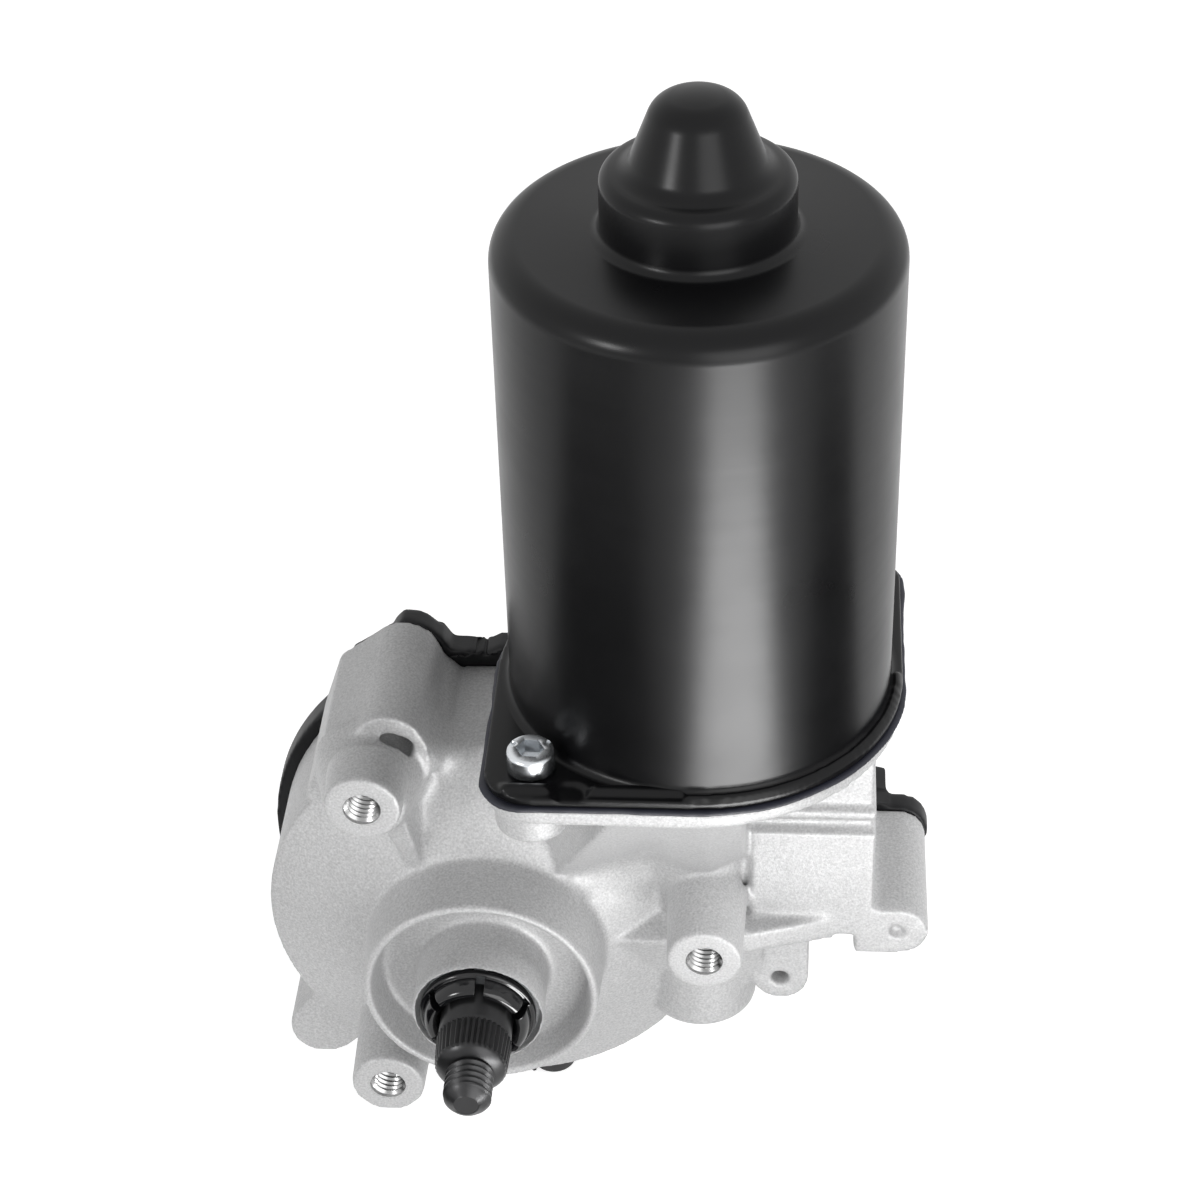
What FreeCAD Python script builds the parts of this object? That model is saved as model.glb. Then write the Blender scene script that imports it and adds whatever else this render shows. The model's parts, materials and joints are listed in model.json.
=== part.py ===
import FreeCAD, Part
import math
import os
import Sketcher

# Wiper motor: a permanent-magnet motor stands on a die-cast gear housing and its worm turns an
# output shaft through a sixty-tooth wheel. The origin is the centre of the three mounting bosses
# in the plane of their faces. +Z runs up the motor and -Y points out along the output shaft.

SIZES = {
    # Mounting bosses and the shaft positions
    "bolt_circle_radius": 36.0,
    "boss_face_radius": 6.2,
    "boss_root_radius": 6.7,
    "boss_length": 16.0,
    "top_boss_length": 8.6,
    "boss_hole_radius": 2.5,
    "boss_hole_depth": 12.0,
    "output_x": -1.2,
    "output_z": -9.7,
    "worm_depth": 23.5,
    # Gear pair
    "wheel_teeth": 60.0,
    "tooth_module": 1.0,
    "tooth_backlash": 0.16,
    "worm_pitch_radius": 5.8,
    "worm_length": 26.0,
    "wheel_width": 7.6,
    "running_gap": 0.04,
    "turning_gap": 0.3,
    # Die-cast housing
    "sleeve_radius": 10.9,
    "sleeve_front": -4.0,
    "sleeve_lip": 0.6,
    "sleeve_back": 16.4,
    "collar_front": 0.6,
    "collar_radius": 19.6,
    "collar_wall": 1.3,
    "collar_root_radius": 20.2,
    "groove_radius": 17.2,
    "groove_floor": 7.0,
    "cone_front": 12.0,
    "cup_radius": 38.0,
    "cup_edge": 20.0,
    "cup_wall": 3.5,
    "floor_wall": 2.2,
    "housing_back": 41.0,
    "tunnel_wall": 2.0,
    "tunnel_end_wall": 2.4,
    "worm_tip_gap": 0.8,
    "block_left": 43.4,
    "block_right": 63.6,
    "block_front": 15.5,
    "block_bottom": -3.7,
    "block_top": 14.8,
    "chamber_wall": 2.4,
    "side_lug_x": 68.2,
    "side_lug_z": -7.1,
    "side_lug_radius": 4.9,
    "small_lug_x": 48.4,
    "small_lug_z": -19.1,
    "small_lug_radius": 4.8,
    "small_lug_hole": 1.5,
    "small_lug_front": 16.0,
    "plate_front": 12.6,
    "gusset_front": 11.2,
    "rib_front": 7.6,
    "low_lug_x": -32.9,
    "low_lug_z": -40.6,
    "low_lug_front": 22.0,
    "low_lug_radius": 5.9,
    "ridge_x": -15.6,
    "ridge_z": 31.2,
    "ridge_front": 15.5,
    "ridge_radius": 6.0,
    # Motor can
    "can_seat": 39.8,
    "seat_thickness": 2.8,
    "gasket_thickness": 0.8,
    "can_radius": 30.5,
    "can_wall": 1.6,
    "can_height": 83.0,
    "can_corner": 4.5,
    "flange_reach": 2.0,
    "flange_thickness": 1.6,
    "ear_radius": 7.3,
    "ear_boss_radius": 6.0,
    "ear_boss_length": 5.2,
    "nose_radius": 14.3,
    "nose_height": 9.8,
    "nose_shoulder": 1.3,
    "dome_base_radius": 10.3,
    "dome_radius": 9.0,
    "dome_skirt": 1.6,
    "screw_radius": 2.4,
    "screw_head_radius": 3.75,
    "screw_head_height": 4.0,
    "screw_length": 11.0,
    # Armature
    "shaft_radius": 4.0,
    "journal_radius": 3.0,
    "journal_length": 5.0,
    "bearing_radius": 11.0,
    "bearing_width": 7.0,
    "bearing_seat": 28.0,
    "stack_start": 68.0,
    "stack_length": 38.0,
    "slot_count": 12.0,
    "magnet_thickness": 5.5,
    "magnet_gap": 0.8,
    "magnet_length": 52.0,
    "magnet_split": 22.0,
    "magnet_rim": 6.0,
    "clip_inset": 3.0,
    "clip_strip": 0.8,
    "end_turn_height": 8.0,
    "commutator_radius": 11.5,
    "commutator_start": 45.0,
    "commutator_length": 13.0,
    "nose_bearing_radius": 7.5,
    "nose_bearing_length": 7.0,
    # Brush gear
    "card_edge": 1.4,
    "card_thickness": 2.0,
    "card_hole_radius": 13.0,
    "choke_radius": 3.2,
    "choke_length": 12.0,
    "breaker_length": 10.0,
    "breaker_width": 5.0,
    "breaker_height": 9.0,
    "capacitor_radius": 3.0,
    "capacitor_length": 10.0,
    "brush_width": 6.0,
    "brush_height": 8.0,
    "brush_share": 0.57,
    "brush_gap": 0.1,
    "holder_wall": 0.8,
    # Output shaft
    "output_radius": 6.0,
    "thread_radius": 3.95,
    "thread_length": 7.0,
    "taper_tip_radius": 5.7,
    "taper_length": 6.0,
    "taper_start": -10.2,
    "taper_shoulder": 0.9,
    "tip_chamfer": 1.2,
    "shaft_back": 30.5,
    "bush_wall": 2.0,
    "front_bush_length": 8.0,
    "rear_bush_length": 7.0,
    "hub_radius": 11.0,
    "clip_thickness": 1.2,
    "washer_thickness": 0.6,
    # Cover
    "cover_radius": 40.0,
    "cover_depth": 10.0,
    "cover_wall": 2.0,
    "cover_right": 66.2,
    "cover_step": 3.6,
    "seal_width": 1.3,
    "seal_height": 1.0,
    "breather_x": 5.8,
    "breather_depth": 45.6,
    "breather_radius": 4.1,
    "breather_length": 19.8,
    "breather_clearance": 1.5,
    "socket_left": 44.0,
    "socket_width": 20.0,
    "socket_front": 44.0,
    "socket_depth": 15.0,
    "socket_bottom": -23.0,
    "socket_wall": 1.8,
    "blade_bottom": -14.6,
    "blade_pitch": 3.2,
    "blade_width": 2.8,
    "blade_thickness": 0.8,
    "cover_screw_radius": 1.6,
    "cover_screw_length": 12.0,
    "cover_screw_tip_gap": 2.0,
    "carrier_edge_gap": 3.5,
    "carrier_height": 6.0,
    "carrier_gap": 5.0,
    "finger_length": 9.0,
    "finger_pitch": 5.0,
    "finger_width": 2.0,
    "finger_thickness": 0.6,
    "park_disc_thickness": 0.5,
}

doc = FreeCAD.newDocument("wiper_motor")
sheet = doc.addObject("Spreadsheet::Sheet", "sizes")


class Size(float):
    # A number that also keeps the sheet formula it was worked out by.
    def __new__(cls, number, formula=None):
        made = super().__new__(cls, number)
        made.formula = formula or repr(float(number))
        return made

    def __add__(self, other):
        return Size(float(self) + float(other), f"({formulaOf(self)} + {formulaOf(other)})")

    def __radd__(self, other):
        return Size(float(other) + float(self), f"({formulaOf(other)} + {formulaOf(self)})")

    def __sub__(self, other):
        return Size(float(self) - float(other), f"({formulaOf(self)} - {formulaOf(other)})")

    def __rsub__(self, other):
        return Size(float(other) - float(self), f"({formulaOf(other)} - {formulaOf(self)})")

    def __mul__(self, other):
        return Size(float(self) * float(other), f"({formulaOf(self)} * {formulaOf(other)})")

    __rmul__ = __mul__

    def __truediv__(self, other):
        return Size(float(self) / float(other), f"({formulaOf(self)} / {formulaOf(other)})")

    def __neg__(self):
        return Size(-float(self), f"(0 - {formulaOf(self)})")


def formulaOf(value):
    return value.formula if isinstance(value, Size) else repr(float(value))


class Sizes:
    pass


s = Sizes()
for row, (name, number) in enumerate(SIZES.items(), start=1):
    sheet.set(f"A{row}", name)
    sheet.set(f"B{row}", str(number))
    sheet.setAlias(f"B{row}", name)
    setattr(s, name, Size(number, f"sizes.{name}"))
doc.recompute()

TURNS = {
    "X": FreeCAD.Rotation(FreeCAD.Vector(0, 1, 0), 90),
    "Y": FreeCAD.Rotation(FreeCAD.Vector(1, 0, 0), -90),
    "Z": FreeCAD.Rotation(),
}
nodes = []


def bind(made, **values):
    for prop, value in values.items():
        setattr(made, prop, float(value))
        if isinstance(value, Size):
            made.setExpression(prop, value.formula)
    return made


def place(made, x=0.0, y=0.0, z=0.0, along="Z", turn=0.0):
    # The local Z axis goes along the named direction after a turn about itself.
    about = TURNS[along].multiply(FreeCAD.Rotation(FreeCAD.Vector(0, 0, 1), turn))
    made.Placement = FreeCAD.Placement(FreeCAD.Vector(x, y, z), about)
    for letter, value in zip("xyz", (x, y, z)):
        if isinstance(value, Size):
            made.setExpression(f".Placement.Base.{letter}", value.formula)
    return made


def rod(name, radius, length, x, y, z, along="Z"):
    made = doc.addObject("Part::Cylinder", name)
    return place(bind(made, Radius=radius, Height=length), x, y, z, along)


def cone(name, first, last, length, x, y, z, along="Z"):
    made = doc.addObject("Part::Cone", name)
    return place(bind(made, Radius1=first, Radius2=last, Height=length), x, y, z, along)


def slab(name, low, high, turn=0.0):
    made = doc.addObject("Part::Box", name)
    bind(made, Length=high[0] - low[0], Width=high[1] - low[1], Height=high[2] - low[2])
    return place(made, low[0], low[1], low[2], "Z", turn)


def join(name, *pieces):
    made = doc.addObject("Part::MultiFuse", name)
    made.Shapes = list(pieces)
    made.Refine = True
    return made


def group(name, *pieces):
    made = doc.addObject("Part::Compound", name)
    made.Links = list(pieces)
    return made


def carve(name, base, *tools):
    made = doc.addObject("Part::Cut", name)
    made.Base = base
    made.Tool = tools[0] if len(tools) == 1 else join(name + "_cutters", *tools)
    made.Refine = True
    return made


def tube(name, outer, inner, length, x, y, z, along="Z"):
    shell = rod(name + "_outside", outer, length, x, y, z, along)
    bore = rod(name + "_bore", inner, length, x, y, z, along)
    return carve(name, shell, bore)


def outline(body, role, corners, ending="_outline"):
    # A closed sketch whose corners are tied to their formulas.
    sketch = body.newObject("Sketcher::SketchObject", body.Name + ending)
    plane = [part for part in body.Origin.OriginFeatures if part.Role == role][0]
    sketch.AttachmentSupport = (plane, "")
    sketch.MapMode = "FlatFace"
    count = len(corners)
    for index, corner in enumerate(corners):
        after = corners[(index + 1) % count]
        first = FreeCAD.Vector(corner[0], corner[1], 0)
        last = FreeCAD.Vector(after[0], after[1], 0)
        sketch.addGeometry(Part.LineSegment(first, last))
    for index in range(count):
        sketch.addConstraint(Sketcher.Constraint("Coincident", index, 2, (index + 1) % count, 1))
    for index, corner in enumerate(corners):
        for kind, value in zip(("DistanceX", "DistanceY"), corner):
            rule = sketch.addConstraint(Sketcher.Constraint(kind, -1, 1, index, 1, float(value)))
            if isinstance(value, Size):
                sketch.setExpression(f"Constraints[{rule}]", value.formula)
    return sketch


def turned(name, corners, x, y, z, along="Z"):
    # A solid of revolution; each corner is a radius and a station along the axis.
    body = doc.addObject("PartDesign::Body", name)
    sketch = outline(body, "XZ_Plane", corners)
    lathe = body.newObject("PartDesign::Revolution", name + "_turn")
    lathe.Profile = sketch
    lathe.ReferenceAxis = (sketch, ["V_Axis"])
    lathe.Angle = 360
    return place(body, x, y, z, along)


def plate(name, corners, front, depth):
    # A flat outline in X and Z that reaches back along +Y from its front.
    body = doc.addObject("PartDesign::Body", name)
    sketch = outline(body, "XZ_Plane", corners)
    pad = body.newObject("PartDesign::Pad", name + "_pad")
    pad.Profile = sketch
    pad.Reversed = True
    bind(pad, Length=depth)
    return place(body, 0.0, front, 0.0)


def wedge(name, corners, x, z, degrees, length):
    # A section in width and depth that runs along X and Z at the given angle from +X.
    body = doc.addObject("PartDesign::Body", name)
    sketch = outline(body, "XY_Plane", corners)
    pad = body.newObject("PartDesign::Pad", name + "_pad")
    pad.Profile = sketch
    bind(pad, Length=length)
    place(body, x, 0.0, z)
    body.Placement.Rotation = FreeCAD.Rotation(FreeCAD.Vector(0, 1, 0), 90 - degrees)
    return body


def ramp(name, low, lowCorners, high, highCorners):
    # A form whose outline in X and Y changes evenly from one height to another.
    body = doc.addObject("PartDesign::Body", name)
    foot = outline(body, "XY_Plane", lowCorners, "_foot")
    head = outline(body, "XY_Plane", highCorners, "_head")
    for sketch, height in ((foot, low), (head, high)):
        sketch.AttachmentOffset = FreeCAD.Placement(FreeCAD.Vector(0, 0, height), FreeCAD.Rotation())
        if isinstance(height, Size):
            sketch.setExpression(".AttachmentOffset.Base.z", height.formula)
    loft = body.newObject("PartDesign::AdditiveLoft", name + "_loft")
    loft.Profile = foot
    loft.Sections = [head]
    loft.Ruled = True
    return body


def rounded(name, base, radius, isRim):
    # Rounds the circular edges that the test picks by radius and centre.
    doc.recompute()
    picked = []
    for index, edge in enumerate(base.Shape.Edges, start=1):
        if isinstance(edge.Curve, Part.Circle) and isRim(edge.Curve.Radius, edge.Curve.Center):
            picked.append((index, float(radius), float(radius)))
    made = doc.addObject("Part::Fillet", name)
    made.Base = base
    made.Edges = picked
    return made


def polar(radius, degrees):
    # Offsets in two directions of a point at that radius and angle.
    return radius * math.cos(math.radians(degrees)), radius * math.sin(math.radians(degrees))


def near(first, second):
    return abs(float(first) - float(second)) < 0.001


def node(made, name):
    made.Label = name
    nodes.append(made)
    return made


# Places that several pieces share
pitchRadius = s.tooth_module * s.wheel_teeth / 2
motorX = s.output_x + pitchRadius + s.worm_pitch_radius
motorY = s.worm_depth
wheelFront = s.worm_depth - s.wheel_width / 2
wheelBack = s.worm_depth + s.wheel_width / 2
canBase = s.can_seat + s.gasket_thickness
canTop = canBase + s.can_height
flangeRadius = s.can_radius + s.flange_reach
magnetOutside = s.can_radius - s.can_wall
stackRadius = magnetOutside - s.magnet_thickness - s.magnet_gap
earOffset = flangeRadius - s.ear_radius
ears = [(motorX - earOffset, motorY - earOffset), (motorX + earOffset, motorY + earOffset)]
bosses = [polar(s.bolt_circle_radius, degrees) for degrees in (0, 120, 240)]
wormTipRadius = s.worm_pitch_radius + s.tooth_module
tunnelBore = wormTipRadius + s.worm_tip_gap
tunnelRadius = tunnelBore + s.tunnel_wall
wormLow = s.output_z - s.worm_length / 2
wormHigh = s.output_z + s.worm_length / 2
journalLow = wormLow - s.turning_gap - s.journal_length
tunnelLow = journalLow - s.turning_gap - s.tunnel_end_wall
cupInside = s.cup_radius - s.cup_wall
bushBore = s.output_radius + s.running_gap
bushSeat = bushBore + s.bush_wall
lipBore = s.sleeve_radius - s.sleeve_lip
coverBack = s.housing_back + s.cover_depth
coverScrewPlaces = [
    (s.ridge_x, s.ridge_z),
    (s.low_lug_x, s.low_lug_z),
    (s.side_lug_x, s.side_lug_z),
    (s.small_lug_x, s.small_lug_z),
]


def earedPlate(name, radius, cornerRadius, low, thickness):
    # The seat outline: a disc with two square corners rounded at the screws.
    discs = [rod(name + "_disc", radius, thickness, motorX, motorY, low)]
    reach = radius - cornerRadius
    for index, way in enumerate((-1, 1)):
        x = motorX + reach * way
        y = motorY + reach * way
        discs.append(rod(f"{name}_ear{index}", cornerRadius, thickness, x, y, low))
        if way < 0:
            across = slab(f"{name}_side{index}", (motorX - radius, y, low), (motorX, motorY, low + thickness))
            along = slab(f"{name}_front{index}", (x, motorY - radius, low), (motorX, motorY, low + thickness))
        else:
            across = slab(f"{name}_side{index}", (motorX, motorY, low), (motorX + radius, y, low + thickness))
            along = slab(f"{name}_front{index}", (motorX, motorY, low), (x, motorY + radius, low + thickness))
        discs += [across, along]
    return join(name, *discs)


def gearHousing():
    cup = turned("cup_form", [
        (0.0, s.sleeve_front),
        (s.sleeve_radius, s.sleeve_front),
        (s.sleeve_radius, s.groove_floor),
        (s.groove_radius, s.groove_floor),
        (s.collar_radius - s.collar_wall, s.collar_front),
        (s.collar_radius, s.collar_front),
        (s.collar_root_radius, s.cone_front),
        (s.cup_radius, s.cup_edge),
        (s.cup_radius, s.housing_back),
        (0.0, s.housing_back),
    ], s.output_x, 0.0, s.output_z, "Y")
    hollow = turned("cup_hollow", [
        (0.0, s.sleeve_back),
        (bushSeat + s.tunnel_wall, s.sleeve_back),
        (bushSeat + s.tunnel_wall, s.groove_floor + s.cup_wall),
        (s.collar_radius - s.collar_wall, s.groove_floor + s.cup_wall),
        (s.collar_root_radius, s.cone_front + s.floor_wall),
        (cupInside, s.cup_edge + s.floor_wall * 0.5),
        (cupInside, s.housing_back + 1),
        (0.0, s.housing_back + 1),
    ], s.output_x, 0.0, s.output_z, "Y")
    shaftBore = turned("shaft_bore", [
        (0.0, s.sleeve_front - 1),
        (lipBore, s.sleeve_front - 1),
        (lipBore, s.sleeve_front + s.clip_thickness + s.turning_gap + s.washer_thickness),
        (bushSeat, s.sleeve_front + s.clip_thickness + s.turning_gap + s.washer_thickness),
        (bushSeat, s.sleeve_back + 1),
        (0.0, s.sleeve_back + 1),
    ], s.output_x, 0.0, s.output_z, "Y")
    solids = [cup]
    cutters = [hollow, shaftBore]
    for index, (x, z) in enumerate(bosses):
        length = s.top_boss_length if index == 1 else s.boss_length
        depth = s.top_boss_length - 1 if index == 1 else s.boss_hole_depth
        solids.append(cone(f"boss{index}", s.boss_face_radius, s.boss_root_radius, length, x, 0.0, z, "Y"))
        cutters.append(rod(f"boss_hole{index}", s.boss_hole_radius, depth, x, 0.0, z, "Y"))

    # The top boss is short; its root swells back to the ridge.
    topX, topZ = bosses[1]
    solids.append(cone("boss_root", s.boss_root_radius, s.boss_root_radius + 3, s.ridge_front - s.rib_front + 3,
                       topX - 1, s.rib_front, topZ - s.boss_root_radius * 0.9, "Y"))

    # A gusset falls from the top boss to the root of the collar.
    solids.append(ramp("top_gusset", s.output_z + s.collar_radius - 2, [
        (topX + 7.1, s.cone_front), (topX + 4.7, s.cone_front + 0.4), (topX + 4.7, s.cup_edge),
        (topX + 8.2, s.cup_edge),
    ], topZ - 3, [
        (topX + 3.7, s.rib_front), (topX - 4.5, s.cone_front), (topX - 4.5, s.cup_edge), (topX + 5.5, s.cup_edge),
    ]))

    # The side boss has a wedge on its right that fades into the wall.
    sideX, sideZ = bosses[0]
    wedgeHigh = sideZ - 4.3
    wedgeLow = sideZ - 9.0
    solids.append(wedge("right_wedge", [
        (0.0, s.gusset_front), (s.boss_root_radius, s.gusset_front), (21.0, s.block_front), (21.0, s.cup_edge),
        (0.0, s.cup_edge),
    ], sideX, wedgeLow, 90.0, wedgeHigh - wedgeLow))

    # The ridge over the hidden cover screw, with its long left flank.
    depth = s.housing_back - s.ridge_front
    solids.append(rod("ridge_lobe", s.ridge_radius, depth, s.ridge_x, s.ridge_front, s.ridge_z, "Y"))
    solids.append(plate("ridge_flank", [
        (s.ridge_x - 2.2, s.ridge_z + s.ridge_radius - 0.4),
        (s.ridge_x - 5.1, s.ridge_z + 3.6),
        (s.ridge_x - 11.1, s.ridge_z - 1.1),
        (s.ridge_x - 14.7, s.ridge_z - 11.8),
        (s.ridge_x - 6, s.ridge_z - 16),
        (s.ridge_x + 8.4, s.ridge_z - 5),
        (s.ridge_x + 9.1, s.output_z + s.cup_radius),
        (s.ridge_x + 6.8, s.ridge_z - 0.8),
        (s.ridge_x + 5.2, s.ridge_z + 3),
    ], s.ridge_front, depth))
    slotX = s.ridge_x + 1.1
    cutters.append(rod("ridge_slot_left", 2.0, 7.0, slotX - 0.9, s.ridge_front - 1, s.ridge_z + 0.7, "Y"))
    cutters.append(rod("ridge_slot_right", 2.0, 7.0, slotX + 0.9, s.ridge_front - 1, s.ridge_z - 0.1, "Y"))

    # A flat shoulder joins the cup's top to the worm tunnel.
    shoulderTop = s.output_z + s.cup_radius
    solids.append(slab("shoulder", (s.output_x, s.cup_edge, s.output_z), (motorX, s.housing_back, shoulderTop)))

    # Worm tunnel with its funnel up to the motor seat.
    seatLow = s.can_seat - s.seat_thickness
    funnel = [(0.0, tunnelLow), (tunnelRadius - 2, tunnelLow), (tunnelRadius, tunnelLow + 2)]
    funnelTop = flangeRadius - 6
    for step in range(6):
        part = step / 5
        station = seatLow * part + 2
        funnel.append((tunnelRadius + (funnelTop - tunnelRadius) * part ** 2.2, station))
    funnel.append((0.0, seatLow + 2))
    # The funnel is flat on its right, where the terminal chamber stands beside it.
    flat = slab("funnel_flat", (s.block_left - 1, motorY - s.can_radius, tunnelRadius / 2),
                (motorX + s.can_radius, s.block_front + 1.6, seatLow + 2))
    solids.append(carve("funnel", turned("tunnel_form", funnel, motorX, motorY, 0.0), flat))
    # A web from the cup's cone carries the front of the seat; its left edge steps back to the screw boss.
    seatFront = motorY - flangeRadius + 0.1
    earX, earY = ears[0]
    solids.append(ramp("seat_web", 6.6, [
        (11.2, 12.5), (26.5, 18.4), (31.0, 14.6), (36.5, 14.1), (s.block_left - 1, 18.0),
        (s.block_left - 1, 30.0), (6.8, 30.0), (6.8, 18.5), (10.5, 16.1), (11.0, 12.7),
    ], seatLow, [
        (earX + 11.8, seatFront), (earX + 17.6, seatFront), (earX + 21.6, seatFront), (earX + 27.0, seatFront),
        (s.block_left - 1, seatFront + 1), (s.block_left - 1, 30.0), (earX - 6.7, 30.0), (earX - 6.7, 14.0),
        (earX, earY + 4.2), (earX + 11.8, seatFront + 3.4),
    ]))
    cutters.append(rod("tunnel_bore", tunnelBore, s.bearing_seat - wormLow + 0.3, motorX, motorY, wormLow - 0.3))
    cutters.append(rod("journal_bore", s.journal_radius + s.running_gap + 2, s.journal_length + 1,
                       motorX, motorY, journalLow - s.turning_gap))
    cutters.append(rod("bearing_bore", s.bearing_radius, s.can_seat - s.bearing_seat + 1,
                       motorX, motorY, s.bearing_seat))

    # Front plate round the side boss, with a sloped top, and the lug below it.
    plateRight = s.block_left + 2
    lugFront = s.small_lug_front
    lugDepth = s.housing_back - lugFront
    plateLeft = s.output_x + s.collar_root_radius
    solids.append(wedge("front_plate", [
        (8.3, s.plate_front), (3.5, s.plate_front + 4.2), (3.5, motorY), (22.0, motorY), (22.0, s.plate_front + 4.9),
    ], plateLeft, 0.0, 0.0, plateRight - plateLeft))
    solids.append(rod("small_lug", s.small_lug_radius, lugDepth, s.small_lug_x, lugFront, s.small_lug_z, "Y"))
    solids.append(slab("small_lug_web", (s.small_lug_x - s.small_lug_radius, lugFront, s.small_lug_z),
                       (s.small_lug_x + s.small_lug_radius, s.housing_back, s.block_bottom + 1)))
    solids.append(slab("chamber_foot", (s.block_left, s.block_front, wedgeLow + 1),
                       (s.block_right - 2, s.housing_back, s.block_bottom + 1)))
    cutters.append(rod("small_lug_bore", s.small_lug_hole, lugDepth + 1, s.small_lug_x, lugFront - 0.5,
                       s.small_lug_z, "Y"))

    # Terminal chamber on the right with its plain facet and bead.
    solids.append(slab("chamber", (s.block_left, s.block_front, s.block_bottom),
                       (s.block_right, s.housing_back, s.block_top)))
    solids.append(slab("chamber_neck", (s.block_left - 3, s.block_front + 1.6, s.block_bottom),
                       (s.block_right - 0.4, s.housing_back, seatLow + 1)))
    solids.append(slab("chamber_bead", (s.block_left + 1, s.block_front + 0.4, s.block_top + 2.4),
                       (s.block_right, s.housing_back, s.block_top + 4.4)))
    solids.append(wedge("chamber_edge", [
        (0.0, s.block_front), (1.0, s.block_front), (1.0, s.cup_edge), (-2.4, s.cup_edge),
    ], s.block_left, s.block_bottom, 90.0, s.block_top - s.block_bottom))
    wall = s.chamber_wall
    cutters.append(slab("chamber_hollow", (s.block_left + wall, s.block_front + wall + 1.6, s.block_bottom + wall),
                        (s.block_right - wall, s.housing_back + 1, s.block_top + 8)))
    solids.append(rod("side_lug", s.side_lug_radius, s.housing_back - s.block_front,
                      s.side_lug_x, s.block_front, s.side_lug_z, "Y"))
    cutters.append(rod("side_lug_dimple", 1.3, 1.2, s.side_lug_x - 0.4, s.block_front, s.side_lug_z, "Y"))
    solids.append(slab("side_lug_foot", (s.block_right - 3, s.block_front, s.side_lug_z - s.side_lug_radius),
                       (s.side_lug_x, s.housing_back, s.side_lug_z + s.side_lug_radius)))

    # Lower-left screw lug
    solids.append(rod("low_lug", s.low_lug_radius, s.housing_back - s.low_lug_front,
                      s.low_lug_x, s.low_lug_front, s.low_lug_z, "Y"))
    solids.append(plate("low_lug_web", [
        (s.low_lug_x - 4.2, s.low_lug_z + 4.2),
        (s.low_lug_x + 4.2, s.low_lug_z - 4.2),
        (s.low_lug_x + 16, s.low_lug_z + 6),
        (s.low_lug_x + 6, s.low_lug_z + 18),
    ], s.low_lug_front, s.housing_back - s.low_lug_front))

    # The funnel stops at the cover's plane below the seat.
    cutters.append(slab("cover_space", (s.output_x, s.housing_back, s.block_bottom),
                        (s.cover_right + 9, s.housing_back + s.cover_depth + 12, shoulderTop + s.cover_step + 0.3)))

    # Motor seat with a boss under each screw ear.
    solids.append(earedPlate("seat", flangeRadius, s.ear_radius, seatLow, s.seat_thickness))
    for index, (x, y) in enumerate(ears):
        bossLow = seatLow - s.ear_boss_length
        if index == 1:
            bossLow = seatLow - s.ear_boss_length / 2
        solids.append(rod(f"ear_boss{index}", s.ear_boss_radius, seatLow - bossLow + 1, x, y, bossLow))
        cutters.append(rod(f"ear_hole{index}", s.screw_radius, s.screw_length, x, y,
                           canBase + s.flange_thickness - s.screw_length))
    holeDepth = s.cover_screw_length - s.cover_wall * 2 + s.cover_screw_tip_gap
    for index, (x, z) in enumerate(coverScrewPlaces):
        cutters.append(rod(f"cover_hole{index}", s.cover_screw_radius, holeDepth + 1, x,
                           s.housing_back - holeDepth, z, "Y"))
    grooveIn = cupInside + (s.cup_wall - s.seal_width) / 2
    groove = tube("seal_groove", grooveIn + s.seal_width, grooveIn, s.seal_height + 1,
                  s.output_x, s.housing_back - s.seal_height, s.output_z, "Y")
    cutters.append(groove)
    return node(carve("gear_housing", join("housing_form", *solids), *cutters), "gear_housing")


def motorCan():
    # A drawn steel can: flange, straight wall, stepped nose and bearing dome.
    noseTop = canTop + s.nose_height
    domeBase = noseTop + s.nose_shoulder
    domeMiddle = domeBase + s.dome_skirt
    wall = s.can_wall
    shell = turned("can_form", [
        (s.can_radius - wall, canBase),
        (s.can_radius, canBase),
        (s.can_radius, canTop),
        (s.nose_radius, canTop),
        (s.nose_radius, noseTop),
        (s.dome_base_radius, domeBase),
        (s.dome_radius, domeMiddle),
        (0.0, domeMiddle),
        (0.0, noseTop - wall),
        (s.nose_radius - wall, noseTop - wall),
        (s.nose_radius - wall, canTop - wall),
        (s.can_radius - wall, canTop - wall),
    ], motorX, motorY, 0.0)

    def isOuterRim(radius, centre):
        return near(centre.z, canTop) and near(radius, s.can_radius)

    def isNoseRim(radius, centre):
        return near(centre.z, noseTop) and near(radius, s.nose_radius)

    smooth = rounded("can_rounded", shell, s.can_corner, isOuterRim)
    smooth = rounded("nose_rounded", smooth, s.can_wall * 0.7, isNoseRim)
    dome = doc.addObject("Part::Sphere", "dome_outside")
    place(bind(dome, Radius=s.dome_radius), motorX, motorY, domeMiddle)
    domeInside = doc.addObject("Part::Sphere", "dome_inside")
    place(bind(domeInside, Radius=s.dome_radius - wall), motorX, motorY, domeMiddle)
    domeBore = rod("dome_bore", s.dome_radius - wall, domeMiddle - canTop, motorX, motorY, canTop)
    smooth = carve("can_shell", join("can_domed", smooth, dome), domeInside, domeBore)
    flange = earedPlate("can_flange_form", flangeRadius, s.ear_radius, canBase, s.flange_thickness)
    holes = [rod("can_flange_hole", s.can_radius - wall, s.flange_thickness, motorX, motorY, canBase)]
    for index, (x, y) in enumerate(ears):
        holes.append(rod(f"can_ear_hole{index}", s.screw_radius + 0.2, s.flange_thickness, x, y, canBase))
    ring = carve("can_flange", flange, *holes)
    return node(join("motor_can", smooth, ring), "motor_can")


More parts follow.
